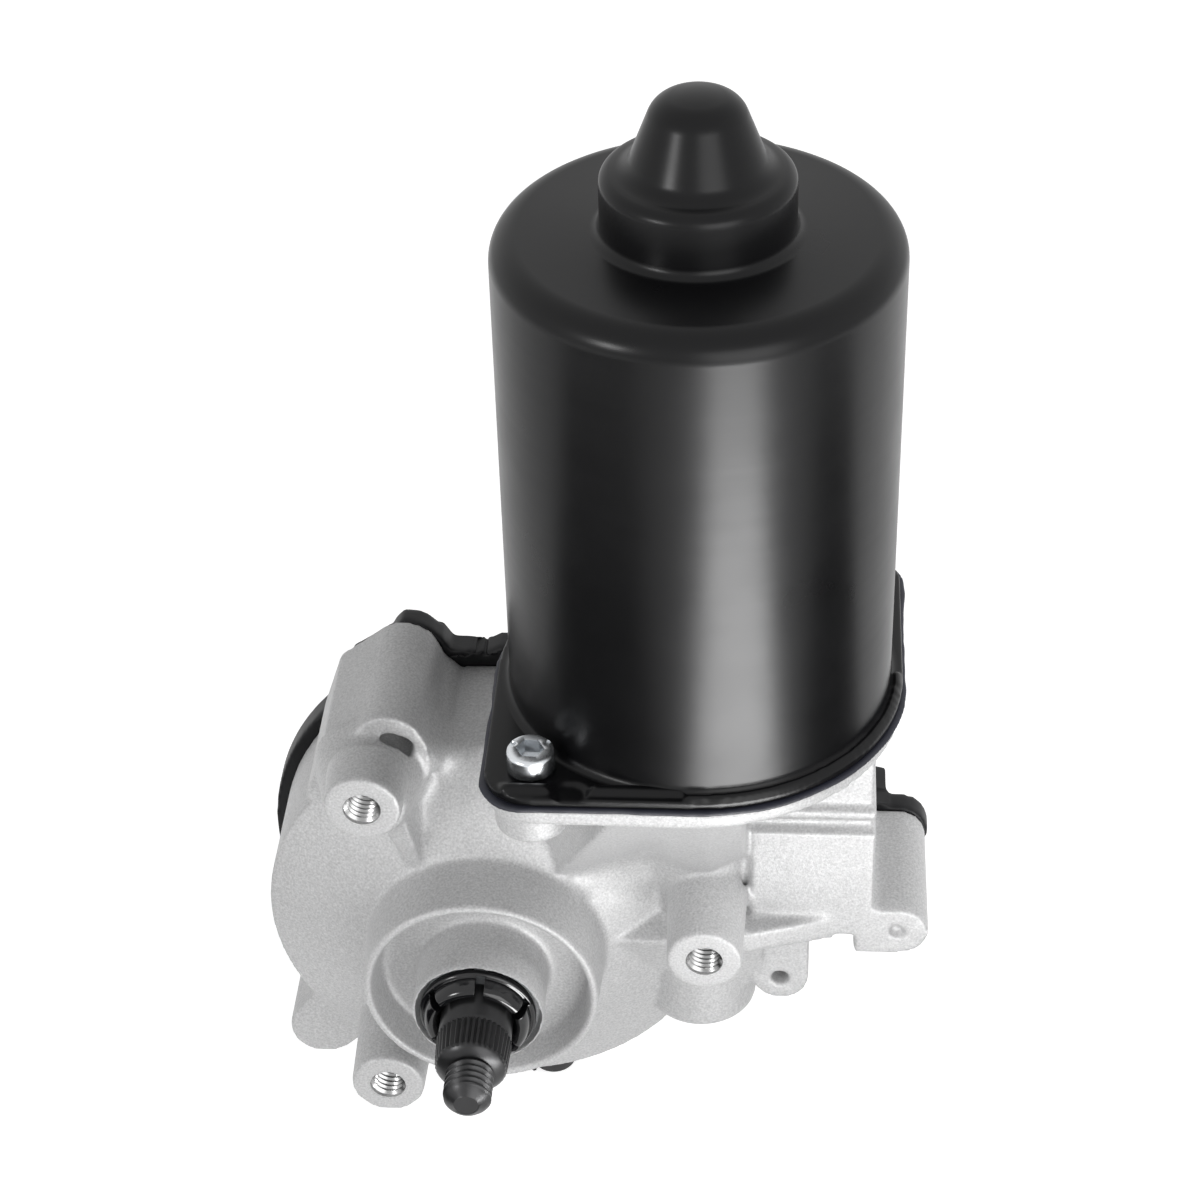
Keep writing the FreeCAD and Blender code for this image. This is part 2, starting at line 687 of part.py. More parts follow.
def flangeGasket():
    sheetForm = earedPlate("gasket_form", flangeRadius, s.ear_radius, s.can_seat, s.gasket_thickness)
    holes = [rod("gasket_opening", s.can_radius - s.can_wall, s.gasket_thickness, motorX, motorY, s.can_seat)]
    for index, (x, y) in enumerate(ears):
        holes.append(rod(f"gasket_hole{index}", s.screw_radius + 0.2, s.gasket_thickness, x, y, s.can_seat))
    return node(carve("flange_gasket", sheetForm, *holes), "flange_gasket")


def canScrews():
    made = []
    headLow = canBase + s.flange_thickness
    for index, (x, y) in enumerate(ears):
        shank = rod(f"can_screw_shank{index}", s.screw_radius, s.screw_length, x, y, headLow - s.screw_length)
        head = rod(f"can_screw_head{index}", s.screw_head_radius, s.screw_head_height, x, y, headLow)
        socket = doc.addObject("Part::Prism", f"can_screw_socket{index}")
        socket.Polygon = 6
        bind(socket, Circumradius=s.screw_head_radius * 0.6, Height=s.screw_head_height)
        place(socket, x, y, headLow + s.screw_head_height * 0.4)
        made.append(carve(f"can_screw{index}", join(f"can_screw_form{index}", shank, head), socket))
    return node(group("can_screws", *made), "can_screws")


def gearCover():
    front = s.housing_back
    depth = s.cover_depth
    right = s.cover_right
    shell = [rod("cover_disc", s.cover_radius, depth, s.output_x, front, s.output_z, "Y")]
    shell.append(slab("cover_side", (motorX, front, -14.0), (right, front + depth, 21.0)))
    shell.append(slab("cover_shoulder", (s.output_x, front, s.output_z),
                      (motorX + 8, front + depth, s.output_z + s.cup_radius + s.cover_step)))
    shell.append(plate("cover_ridge", [
        (s.ridge_x - 5.1, s.ridge_z + 5),
        (s.ridge_x - 12.4, s.ridge_z - 0.4),
        (s.ridge_x - 16, s.ridge_z - 12),
        (s.ridge_x + 8, s.ridge_z - 12),
        (s.ridge_x + 13, s.output_z + s.cup_radius + s.cover_step),
        (s.ridge_x + 8.4, s.ridge_z + 1),
        (s.ridge_x + 6.4, s.ridge_z + 4),
    ], front, depth))
    for index, (x, z) in enumerate(coverScrewPlaces):
        radius = (s.ridge_radius, s.low_lug_radius, s.side_lug_radius, s.small_lug_radius)[index]
        shell.append(rod(f"cover_lug{index}", radius + 1.3 - min(index, 2) * 0.4, s.cover_wall * 2, x, front, z, "Y"))
    shell.append(plate("cover_small_web", [
        (s.small_lug_x - s.small_lug_radius - 0.4, s.small_lug_z),
        (s.small_lug_x + s.small_lug_radius + 0.4, s.small_lug_z),
        (s.side_lug_x, s.side_lug_z - s.side_lug_radius),
        (s.side_lug_x, s.side_lug_z),
        (motorX - 4, s.side_lug_z),
    ], front, s.cover_wall * 2))
    shell.append(plate("cover_low_web", [
        (s.low_lug_x - 4.6, s.low_lug_z + 4.6),
        (s.low_lug_x + 4.6, s.low_lug_z - 4.6),
        (s.low_lug_x + 16, s.low_lug_z + 4),
        (s.low_lug_x + 4, s.low_lug_z + 18),
    ], front, s.cover_wall * 2))
    socketRight = s.socket_left + s.socket_width
    socketBack = s.socket_front + s.socket_depth
    socketTop = s.block_bottom + 4
    shell.append(slab("socket_form", (s.socket_left, s.socket_front, s.socket_bottom),
                      (socketRight, socketBack, socketTop)))
    nipple = rod("breather_nipple", s.breather_radius - 1.2, 16.0, s.breather_x, s.breather_depth,
                 s.output_z - s.cover_radius - 12, "Z")
    shell.append(nipple)
    wall = s.cover_wall
    cutters = [rod("cover_hollow", cupInside, depth - wall, s.output_x, front, s.output_z, "Y")]
    cutters.append(slab("cover_chamber", (s.block_left + 2.4, front, socketTop + wall),
                        (right - wall * 2, front + depth - wall, 21.0 - wall)))
    rim = s.socket_wall
    cutters.append(slab("socket_hollow", (s.socket_left + rim, s.socket_front + rim, s.socket_bottom),
                        (socketRight - rim, socketBack - rim, socketTop - rim)))
    cutters.append(rod("nipple_bore", s.breather_radius - 2.4, 20.0, s.breather_x, s.breather_depth,
                       s.output_z - s.cover_radius - 12, "Z"))
    for index, (x, z) in enumerate(coverScrewPlaces):
        cutters.append(rod(f"cover_clear{index}", s.cover_screw_radius + 0.3, depth + 1, x, front, z, "Y"))
        cutters.append(rod(f"cover_face{index}", s.cover_screw_radius * 2.2, depth, x, front + s.cover_wall * 2, z, "Y"))
    return node(carve("gear_cover", join("cover_form", *shell), *cutters), "gear_cover")


def coverScrews():
    made = []
    for index, (x, z) in enumerate(coverScrewPlaces):
        seat = s.housing_back + s.cover_wall * 2
        shank = rod(f"cover_screw_shank{index}", s.cover_screw_radius, s.cover_screw_length, x,
                    seat - s.cover_screw_length, z, "Y")
        head = cone(f"cover_screw_head{index}", s.cover_screw_radius * 2, s.cover_screw_radius * 1.4, 2.2,
                    x, seat, z, "Y")
        cross = slab(f"cover_screw_cross{index}", (x - 0.4, seat + 1, z - 1.8), (x + 0.4, seat + 3, z + 1.8))
        bar = slab(f"cover_screw_bar{index}", (x - 1.8, seat + 1, z - 0.4), (x + 1.8, seat + 3, z + 0.4))
        made.append(carve(f"cover_screw{index}", join(f"cover_screw_form{index}", shank, head), cross, bar))
    return node(group("cover_screws", *made), "cover_screws")


def coverSeal():
    inner = cupInside + (s.cup_wall - s.seal_width) / 2
    return node(tube("cover_seal", inner + s.seal_width, inner, s.seal_height,
                     s.output_x, s.housing_back - s.seal_height, s.output_z, "Y"), "cover_seal")


def breatherTube():
    low = s.output_z - s.cover_radius - s.breather_clearance - s.breather_length
    return node(tube("breather_tube", s.breather_radius, s.breather_radius - 1.2, s.breather_length,
                     s.breather_x, s.breather_depth, low), "breather_tube")


def connectorTerminals():
    # Five blades stand in the socket and bend into the terminal chamber.
    made = []
    top = s.block_bottom + 4 - s.socket_wall
    middle = s.socket_front + s.socket_depth / 2
    half = s.blade_thickness / 2
    deep = s.blade_width / 2
    for index in range(5):
        x = s.socket_left + s.socket_width / 2 + (index - 2) * s.blade_pitch
        made.append(slab(f"blade{index}", (x - half, middle - deep, s.blade_bottom), (x + half, middle + deep, top)))
    return node(group("connector_terminals", *made), "connector_terminals")


def fieldMagnets():
    outer = magnetOutside
    inner = outer - s.magnet_thickness
    low = s.stack_start + s.stack_length / 2 - s.magnet_length / 2
    ring = tube("magnet_ring", outer, inner, s.magnet_length, motorX, motorY, low)
    high = low + s.magnet_length
    half = s.magnet_split / 2
    gap = slab("magnet_split_cut", (motorX - half, motorY - outer - 1, low), (motorX + half, motorY + outer + 1, high))
    clips = []
    for index, y in enumerate((motorY - outer + s.clip_inset, motorY + outer - s.clip_inset - s.clip_strip)):
        clips.append(slab(f"magnet_clip{index}", (motorX - half, y, low + s.magnet_rim),
                          (motorX + half, y + s.clip_strip, high - s.magnet_rim)))
    node(carve("field_magnets", ring, gap), "field_magnets")
    return node(group("magnet_clips", *clips), "magnet_clips")


def noseBearing():
    low = canTop - s.can_wall + 1
    bush = tube("nose_bearing", s.nose_bearing_radius, s.shaft_radius + s.running_gap, s.nose_bearing_length,
                motorX, motorY, low)
    node(bush, "nose_bearing")
    outer = s.nose_radius - s.can_wall
    disc = tube("retainer_disc", outer, s.nose_bearing_radius, 1.0, motorX, motorY, low + 2)
    return node(disc, "nose_bearing_retainer")


def wormEndBearings():
    outer = s.bearing_radius
    ringWall = (outer - s.shaft_radius) * 0.3
    innerRing = s.shaft_radius + ringWall
    seat = s.bearing_seat
    node(tube("bearing_outer_ring", outer, outer - ringWall, s.bearing_width, motorX, motorY, seat),
         "bearing_outer_ring")
    node(tube("bearing_inner_ring", innerRing, s.shaft_radius, s.bearing_width, motorX, motorY, seat),
         "bearing_inner_ring")
    middle = (outer + s.shaft_radius) / 2
    ballRadius = (outer - s.shaft_radius) / 2 - ringWall - 0.05
    balls = []
    for index in range(7):
        dx, dy = polar(middle, index * 360 / 7)
        ball = doc.addObject("Part::Sphere", f"ball{index}")
        bind(ball, Radius=ballRadius)
        balls.append(place(ball, motorX + dx, motorY + dy, s.bearing_seat + s.bearing_width / 2))
    node(group("bearing_balls", *balls), "bearing_balls")
    bore = s.journal_radius + s.running_gap
    node(tube("worm_bush", bore + 2, bore, s.journal_length - 1, motorX, motorY, journalLow + 1), "worm_bush")
    node(rod("thrust_button", s.journal_radius, s.turning_gap, motorX, motorY, journalLow - s.turning_gap),
         "thrust_button")


def armature():
    shaftTop = canTop + s.nose_height - 2
    root = s.worm_pitch_radius - 1.25 * s.tooth_module
    shaft = turned("shaft_form", [
        (0.0, journalLow),
        (s.journal_radius, journalLow),
        (s.journal_radius, wormLow),
        (root, wormLow),
        (root, wormHigh),
        (s.shaft_radius, wormHigh + 1),
        (s.shaft_radius, shaftTop),
        (0.0, shaftTop),
    ], motorX, motorY, 0.0)
    node(join("armature_shaft", shaft, wormThread()), "armature_shaft")

    stackEnd = s.stack_start + s.stack_length
    stack = doc.addObject("PartDesign::Body", "lamination_stack")
    circle = stack.newObject("Sketcher::SketchObject", "stack_outline")
    plane = [part for part in stack.Origin.OriginFeatures if part.Role == "XY_Plane"][0]
    circle.AttachmentSupport = (plane, "")
    circle.MapMode = "FlatFace"
    centre = FreeCAD.Vector(0, 0, 0)
    up = FreeCAD.Vector(0, 0, 1)
    circle.addGeometry(Part.Circle(centre, up, float(stackRadius)))
    circle.addGeometry(Part.Circle(centre, up, float(s.shaft_radius)))
    for index, value in enumerate((stackRadius, s.shaft_radius)):
        circle.addConstraint(Sketcher.Constraint("Coincident", index, 3, -1, 1))
        rule = circle.addConstraint(Sketcher.Constraint("Radius", index, float(value)))
        circle.setExpression(f"Constraints[{rule}]", value.formula)
    pad = stack.newObject("PartDesign::Pad", "stack_pad")
    pad.Profile = circle
    bind(pad, Length=s.stack_length)
    slotIn = stackRadius * 0.55
    slotOut = stackRadius + 1
    slotLip = stackRadius - 2.2
    wide = stackRadius * 0.14
    slot = outline(stack, "XY_Plane", [
        (slotIn, wide * -0.4), (slotLip, wide * -1), (slotLip, -1.0), (slotOut, -1.0),
        (slotOut, 1.0), (slotLip, 1.0), (slotLip, wide), (slotIn, wide * 0.4),
    ])
    doc.recompute()
    pocket = stack.newObject("PartDesign::Pocket", "slot_pocket")
    pocket.Profile = slot
    pocket.Type = 1
    pocket.Reversed = True
    doc.recompute()
    pattern = stack.newObject("PartDesign::PolarPattern", "slot_pattern")
    pattern.Originals = [pocket]
    pattern.Axis = (circle, ["N_Axis"])
    pattern.Angle = 360
    pattern.Occurrences = int(s.slot_count)
    stack.Tip = pattern
    node(place(stack, motorX, motorY, s.stack_start), "lamination_stack")

    # Each end turn is a ring whose outer edge is sloped away from the stack.
    coilOut = stackRadius - 2.4
    slope = 3.0
    low = s.stack_start - s.end_turn_height
    high = stackEnd + s.end_turn_height
    coils = [
        turned("end_turn_low", [
            (s.shaft_radius, low), (coilOut - slope, low), (coilOut, low + slope), (coilOut, s.stack_start),
            (s.shaft_radius, s.stack_start),
        ], motorX, motorY, 0.0),
        turned("end_turn_high", [
            (s.shaft_radius, stackEnd), (coilOut, stackEnd), (coilOut, high - slope), (coilOut - slope, high),
            (s.shaft_radius, high),
        ], motorX, motorY, 0.0),
    ]
    node(group("armature_windings", *coils), "armature_windings")

    core = s.commutator_radius - 2.5
    length = s.commutator_length
    node(tube("commutator_core", core, s.shaft_radius, length, motorX, motorY, s.commutator_start), "commutator_core")
    ring = tube("commutator_ring", s.commutator_radius, core, length, motorX, motorY, s.commutator_start)
    riser = tube("commutator_riser", s.commutator_radius + 1.5, core, 1.4, motorX, motorY,
                 s.commutator_start + s.commutator_length - 1.4)
    gaps = []
    half = int(s.slot_count / 2)
    reach = s.commutator_radius + 3
    for index in range(half):
        turn = (index + 0.5) * 180 / half
        gap = doc.addObject("Part::Box", f"segment_gap{index}")
        bind(gap, Length=reach * 2, Width=0.5, Height=s.commutator_length)
        dx, dy = polar(reach, turn)
        ox, oy = polar(0.25, turn + 90)
        place(gap, motorX - dx - ox, motorY - dy - oy, s.commutator_start, "Z", turn)
        gaps.append(gap)
    node(carve("commutator_segments", join("segment_ring", ring, riser), *gaps), "commutator_segments")


def wormThread():
    # One trapezoid thread wound about the shaft at the pitch of the wheel's teeth.
    lead = math.pi * s.tooth_module
    root = s.worm_pitch_radius - 1.25 * s.tooth_module
    turns = int(s.worm_length / lead) - 1
    helix = doc.addObject("Part::Helix", "worm_helix")
    bind(helix, Pitch=lead, Height=lead * turns, Radius=s.worm_pitch_radius)
    slope = math.tan(math.radians(20))
    half = lead / 4 - s.tooth_backlash / 2
    rootHalf = half + 1.25 * s.tooth_module * slope
    tipHalf = half - s.tooth_module * slope
    inner = float(root) - 0.3
    points = [
        FreeCAD.Vector(inner, 0, -rootHalf),
        FreeCAD.Vector(float(wormTipRadius), 0, -tipHalf),
        FreeCAD.Vector(float(wormTipRadius), 0, tipHalf),
        FreeCAD.Vector(inner, 0, rootHalf),
    ]
    profile = doc.addObject("Part::Feature", "worm_profile")
    profile.Shape = Part.makePolygon(points + [points[0]])
    thread = doc.addObject("Part::Sweep", "worm_thread")
    thread.Sections = [profile]
    doc.recompute()
    thread.Spine = (helix, [f"Edge{index + 1}" for index in range(len(helix.Shape.Edges))])
    thread.Solid = True
    thread.Frenet = True
    # Half a turn on, the thread faces the wheel in the plane of its axis.
    start = s.output_z - lead * (turns // 2 + 0.5)
    return place(thread, motorX, motorY, start)


def toothOutline(turn):
    # Involute flanks about the wheel's centre, drawn in local X and Y.
    pitch = float(pitchRadius)
    module = float(s.tooth_module)
    base = pitch * math.cos(math.radians(20))
    teeth = int(s.wheel_teeth)
    spread = math.tan(math.radians(20)) - math.radians(20)
    thickness = math.pi * module / 2 - float(s.tooth_backlash)
    points = []
    stations = (pitch - 1.2 * module, pitch - 0.3 * module, pitch + 0.9 * module)
    for tooth in range(teeth):
        middle = 2 * math.pi * tooth / teeth + turn
        rise = []
        for radius in stations:
            angle = math.acos(min(1.0, base / radius))
            half = thickness / (2 * pitch) + spread - (math.tan(angle) - angle)
            rise.append((radius, half))
        for radius, half in rise:
            points.append(FreeCAD.Vector(radius * math.cos(middle - half), radius * math.sin(middle - half), 0))
        for radius, half in reversed(rise):
            points.append(FreeCAD.Vector(radius * math.cos(middle + half), radius * math.sin(middle + half), 0))
    return Part.makePolygon(points + [points[0]])


def driveGear():
    # The teeth lean by the worm's lead angle, so each end face is turned a little.
    lead = math.atan(math.pi * s.tooth_module / (2 * math.pi * s.worm_pitch_radius))
    lean = math.tan(lead) * s.wheel_width / pitchRadius
    ends = []
    halfTooth = math.pi / int(s.wheel_teeth)
    for index, (height, turn) in enumerate(((0.0, -lean / 2), (float(s.wheel_width), lean / 2))):
        face = doc.addObject("Part::Feature", f"tooth_outline{index}")
        wire = toothOutline(turn - halfTooth)
        wire.translate(FreeCAD.Vector(0, 0, height))
        face.Shape = wire
        ends.append(face)
    loft = doc.addObject("Part::Loft", "tooth_form")
    loft.Sections = ends
    loft.Solid = True
    loft.Ruled = True
    place(loft, s.output_x, wheelFront, s.output_z, "Y")
    rimInside = pitchRadius - 4.5 * s.tooth_module
    recess = s.wheel_width / 2 - 1.2
    frontRecess = turned("wheel_front_recess", [
        (s.hub_radius, 0.0), (rimInside, 0.0), (rimInside, recess), (s.hub_radius, recess),
    ], s.output_x, wheelFront, s.output_z, "Y")
    bore = rod("wheel_bore", s.output_radius, 20.0, s.output_x, wheelFront - 5, s.output_z, "Y")
    plateSeat = rod("wheel_plate_seat", s.hub_radius + 4, 1.5, s.output_x, wheelBack - 1.5, s.output_z, "Y")
    return node(carve("drive_gear", loft, frontRecess, bore, plateSeat), "drive_gear")


def outputGroup():
    taperEnd = s.taper_start - s.taper_length
    threadTop = taperEnd - s.taper_shoulder
    tip = threadTop - s.thread_length
    node(turned("output_shaft", [
        (0.0, tip),
        (s.thread_radius - s.tip_chamfer, tip),
        (s.thread_radius, tip + s.tip_chamfer),
        (s.thread_radius, threadTop),
        (s.taper_tip_radius, taperEnd),
        (s.output_radius, s.taper_start),
        (s.output_radius, s.shaft_back - 0.6),
        (s.output_radius - 0.6, s.shaft_back),
        (0.0, s.shaft_back),
    ], s.output_x, 0.0, s.output_z, "Y"), "output_shaft")
    clipFront = s.sleeve_front
    clip = tube("clip_ring", lipBore - s.turning_gap, s.output_radius, s.clip_thickness,
                s.output_x, clipFront, s.output_z, "Y")
    slots = []
    for index in range(6):
        dx, dz = polar(s.output_radius + 1.4, index * 60 + 15)
        slots.append(rod(f"clip_slot{index}", 0.9, s.clip_thickness, s.output_x + dx, clipFront, s.output_z + dz, "Y"))
    node(carve("retaining_clip", clip, *slots), "retaining_clip")
    node(tube("thrust_washer", lipBore - s.turning_gap - 0.5, s.output_radius, s.washer_thickness,
              s.output_x, clipFront + s.clip_thickness, s.output_z, "Y"), "thrust_washer")
    hubFront = s.sleeve_back + s.turning_gap
    node(tube("wheel_spacer", s.hub_radius - 2, s.output_radius, wheelFront - hubFront,
              s.output_x, hubFront, s.output_z, "Y"), "wheel_spacer")
    node(tube("drive_plate", s.hub_radius + 4, s.output_radius, 1.5,
              s.output_x, wheelBack - 1.5, s.output_z, "Y"), "drive_plate")
    disc = tube("park_disc_form", pitchRadius - 5, s.hub_radius + 5, s.park_disc_thickness,
                s.output_x, wheelBack, s.output_z, "Y")
    notch = slab("park_notch", (s.output_x + s.hub_radius + 8, wheelBack, s.output_z - 5),
                 (s.output_x + pitchRadius, wheelBack + 1, s.output_z + 5))
    node(carve("park_contact_disc", disc, notch), "park_contact_disc")


def shaftBushes():
    start = s.sleeve_front + s.clip_thickness + s.turning_gap + s.washer_thickness
    node(tube("front_bush", bushSeat, bushBore, s.front_bush_length, s.output_x, start, s.output_z, "Y"), "front_bush")
    node(tube("rear_bush", bushSeat, bushBore, s.rear_bush_length,
              s.output_x, s.sleeve_back - s.rear_bush_length, s.output_z, "Y"), "rear_bush")


def brushGear():
    # The card and all on it keep inside the can; the brushes reach in to the commutator.
    low = s.can_seat
    cardRadius = s.can_radius - s.can_wall - s.card_edge
    card = rod("card_form", cardRadius, s.card_thickness, motorX, motorY, low)
    hole = rod("card_hole", s.card_hole_radius, s.card_thickness, motorX, motorY, low)
    node(carve("brush_card", card, hole), "brush_card")
    cardTop = low + s.card_thickness
    brushMiddle = s.commutator_start + s.commutator_length / 2 - 1
    brushLow = brushMiddle - s.brush_height / 2
    brushHigh = brushMiddle + s.brush_height / 2
    start = s.commutator_radius + s.brush_gap
    holderEnd = cardRadius - 1
    springEnd = holderEnd - s.holder_wall
    holders = []
    brushes = []
    springs = []
    brushEnd = start + (springEnd - start) * s.brush_share
    for index, degrees in enumerate((0.0, 90.0, 210.0)):
        form = radialBox(f"holder_form{index}", start + 1, holderEnd, s.brush_width + s.holder_wall * 2,
                         cardTop, brushHigh + s.holder_wall, degrees)
        slot = radialBox(f"holder_slot{index}", start, springEnd, s.brush_width + 0.1,
                         brushLow - 0.05, brushHigh + 0.05, degrees)
        holders.append(carve(f"holder{index}", form, slot))
        brushes.append(radialBox(f"brush{index}", start, brushEnd, s.brush_width,
                                 brushLow, brushHigh, degrees))
        springs.append(radialRod(f"spring{index}", 2.2, brushEnd, springEnd, brushMiddle, degrees))
    node(group("brush_holders", *holders), "brush_holders")
    node(group("carbon_brushes", *brushes), "carbon_brushes")
    node(group("brush_springs", *springs), "brush_springs")
    coils = []
    for index, degrees in enumerate((45.0, 135.0)):
        dx, dy = polar(cardRadius - s.choke_radius - 2, degrees)
        coils.append(rod(f"choke{index}", s.choke_radius, s.choke_length, motorX + dx, motorY + dy, cardTop))
    node(group("choke_coils", *coils), "choke_coils")
    long = s.breaker_length / 2
    wide = s.breaker_width / 2
    dx, dy = polar(cardRadius - s.breaker_width, 270)
    node(slab("thermal_breaker", (motorX + dx - long, motorY + dy - wide, cardTop),
              (motorX + dx + long, motorY + dy + wide, cardTop + s.breaker_height)), "thermal_breaker")
    dx, dy = polar(cardRadius - s.capacitor_radius - 2, 320)
    node(rod("noise_capacitor", s.capacitor_radius, s.capacitor_length, motorX + dx, motorY + dy, cardTop),
         "noise_capacitor")


def radialBox(name, first, last, width, low, high, degrees):
    # A box that points away from the motor's axis.
    made = doc.addObject("Part::Box", name)
    bind(made, Length=last - first, Width=width, Height=high - low)
    dx, dy = polar(first, degrees)
    ox, oy = polar(width / 2, degrees + 90)
    return place(made, motorX + dx - ox, motorY + dy - oy, low, "Z", degrees)


def radialRod(name, radius, first, last, height, degrees):
    made = doc.addObject("Part::Cylinder", name)
    bind(made, Radius=radius, Height=last - first)
    dx, dy = polar(first, degrees)
    place(made, motorX + dx, motorY + dy, height)
    lay = FreeCAD.Rotation(FreeCAD.Vector(0, 0, 1), degrees).multiply(TURNS["X"])
    made.Placement.Rotation = lay
    return made


def parkContacts():
    # A moulded block on the cover holds three spring fingers over the disc.
    back = s.housing_back + s.cover_depth - s.cover_wall
    low = s.output_z - 8
    left = s.output_x + s.hub_radius + 4
    face = wheelBack + s.park_disc_thickness + s.turning_gap
    right = s.output_x + cupInside - s.carrier_edge_gap
    top = low + s.carrier_height
    node(slab("contact_carrier", (left, face + s.carrier_gap, low), (right, back, top)),
         "contact_carrier")
    fingers = []
    for index in range(3):
        x = (left + right) / 2 - s.finger_width / 2 + (index - 1) * s.finger_pitch
        fingers.append(slab(f"finger{index}", (x, face, top),
                            (x + s.finger_width, face + s.finger_length, top + s.finger_thickness)))
    node(group("park_contact_fingers", *fingers), "park_contact_fingers")


gearHousing()
motorCan()
flangeGasket()
canScrews()
gearCover()
coverScrews()
coverSeal()
breatherTube()
connectorTerminals()
fieldMagnets()
noseBearing()
wormEndBearings()
armature()
driveGear()
outputGroup()
shaftBushes()
brushGear()
parkContacts()
doc.recompute()

for made in doc.Objects:
    if "Invalid" in made.State or "Error" in made.State:
        raise RuntimeError(f"{made.Label} did not build: {made.State}")
os.makedirs("parts", exist_ok=True)
for made in nodes:
    if made.Shape.isNull() or not made.Shape.isValid() or not made.Shape.Solids:
        raise RuntimeError(f"{made.Label} is not a sound solid")
for made in nodes:
    made.Shape.exportStep(f"parts/{made.Label}.step")
print(len(nodes), "pieces written")
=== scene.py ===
import json
import math

import bpy
from mathutils import Matrix, Vector

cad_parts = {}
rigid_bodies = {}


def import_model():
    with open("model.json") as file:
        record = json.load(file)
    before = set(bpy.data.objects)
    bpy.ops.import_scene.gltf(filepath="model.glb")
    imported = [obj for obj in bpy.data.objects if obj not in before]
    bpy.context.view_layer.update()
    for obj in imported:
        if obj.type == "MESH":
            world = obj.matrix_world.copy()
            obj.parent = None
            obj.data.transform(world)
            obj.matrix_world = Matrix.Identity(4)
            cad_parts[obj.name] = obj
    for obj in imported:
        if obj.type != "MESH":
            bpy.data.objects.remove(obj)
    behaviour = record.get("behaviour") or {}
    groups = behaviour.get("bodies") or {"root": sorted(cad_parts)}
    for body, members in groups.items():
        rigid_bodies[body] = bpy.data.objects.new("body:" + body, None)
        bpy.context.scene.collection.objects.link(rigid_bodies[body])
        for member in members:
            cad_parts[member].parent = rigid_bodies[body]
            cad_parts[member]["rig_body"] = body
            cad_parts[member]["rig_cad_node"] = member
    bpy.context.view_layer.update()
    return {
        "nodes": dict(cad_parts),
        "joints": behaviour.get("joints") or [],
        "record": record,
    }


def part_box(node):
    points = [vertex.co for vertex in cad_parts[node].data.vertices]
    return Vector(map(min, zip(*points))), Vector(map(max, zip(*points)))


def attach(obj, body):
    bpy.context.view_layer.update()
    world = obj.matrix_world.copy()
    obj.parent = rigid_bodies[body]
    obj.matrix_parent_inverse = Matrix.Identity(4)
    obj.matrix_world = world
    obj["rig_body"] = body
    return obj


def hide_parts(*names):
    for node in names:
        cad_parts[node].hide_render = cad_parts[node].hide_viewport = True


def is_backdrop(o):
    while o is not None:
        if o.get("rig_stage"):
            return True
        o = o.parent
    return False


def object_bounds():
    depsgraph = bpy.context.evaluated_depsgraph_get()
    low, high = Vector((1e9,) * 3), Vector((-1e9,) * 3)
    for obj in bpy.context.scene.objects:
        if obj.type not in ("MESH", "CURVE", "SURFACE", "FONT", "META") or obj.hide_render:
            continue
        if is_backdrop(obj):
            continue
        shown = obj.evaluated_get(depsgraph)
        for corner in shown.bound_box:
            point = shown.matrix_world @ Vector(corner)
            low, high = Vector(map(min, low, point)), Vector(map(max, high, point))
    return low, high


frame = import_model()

print("frame loaded:", len(frame["nodes"]), "nodes")

mm = 0.001
tiny = 0.001 * mm
# The mounts and joints that everything else is set from, in metres
mounts = {mount["name"]: mount for mount in frame["record"]["mounts"]}
joints = {joint["name"]: joint for joint in frame["joints"]}
motorAxis = Vector(joints["armature_spin"]["pos_m"])
outputAxis = Vector(joints["output_spin"]["pos_m"])
outputX, outputZ = outputAxis.x, outputAxis.z
motorX, motorY = motorAxis.x, motorAxis.y


# Camera: solved from the three boss faces and the can's circles
cameraView = {
    "place": Vector((48.41, -347.39, 339.90)) * mm,
    "yaw": math.radians(-4.56),
    "pitch": math.radians(37.36),
    "roll": math.radians(-1.69),
    "lens": 88.73,
    "sensor": 36,
}


def makeCamera(view):
    cosPitch = math.cos(view["pitch"])
    ahead = Vector((
        math.sin(view["yaw"]) * cosPitch,
        math.cos(view["yaw"]) * cosPitch,
        -math.sin(view["pitch"]),
    ))
    level = Vector((math.cos(view["yaw"]), -math.sin(view["yaw"]), 0))
    upright = level.cross(ahead)
    right = level * math.cos(view["roll"]) + upright * math.sin(view["roll"])
    up = upright * math.cos(view["roll"]) - level * math.sin(view["roll"])
    bpy.ops.object.camera_add()
    camera = bpy.context.object
    camera.name = "photoCamera"
    camera.matrix_world = Matrix((
        (right.x, up.x, -ahead.x, view["place"].x),
        (right.y, up.y, -ahead.y, view["place"].y),
        (right.z, up.z, -ahead.z, view["place"].z),
        (0, 0, 0, 1),
    ))
    camera.data.sensor_width = view["sensor"]
    camera.data.lens = view["lens"]
    camera.data.clip_start = 10 * mm
    bpy.context.scene.camera = camera


makeCamera(cameraView)


# Selection and edit helpers
def clearSelection():
    for item in bpy.context.selected_objects:
        item.select_set(False)


def takeUp(piece):
    clearSelection()
    piece.select_set(True)
    bpy.context.view_layer.objects.active = piece


def applyAll(piece):
    takeUp(piece)
    for modifier in list(piece.modifiers):
        bpy.ops.object.modifier_apply(modifier=modifier.name)


def settle(piece, name):
    # Puts the piece's place into its mesh, so that its object stays at the origin.
    takeUp(piece)
    piece.name = name
    piece.data.name = name
    bpy.ops.object.transform_apply(location=True, rotation=True, scale=True)
    return piece


def joinPieces(pieces, name):
    clearSelection()
    for piece in pieces:
        piece.select_set(True)
    bpy.context.view_layer.objects.active = pieces[0]
    if len(pieces) > 1:
        bpy.ops.object.join()
    return settle(bpy.context.view_layer.objects.active, name)


def smoothBy(piece, degrees):
    takeUp(piece)
    bpy.ops.object.shade_smooth_by_angle(angle=math.radians(degrees))


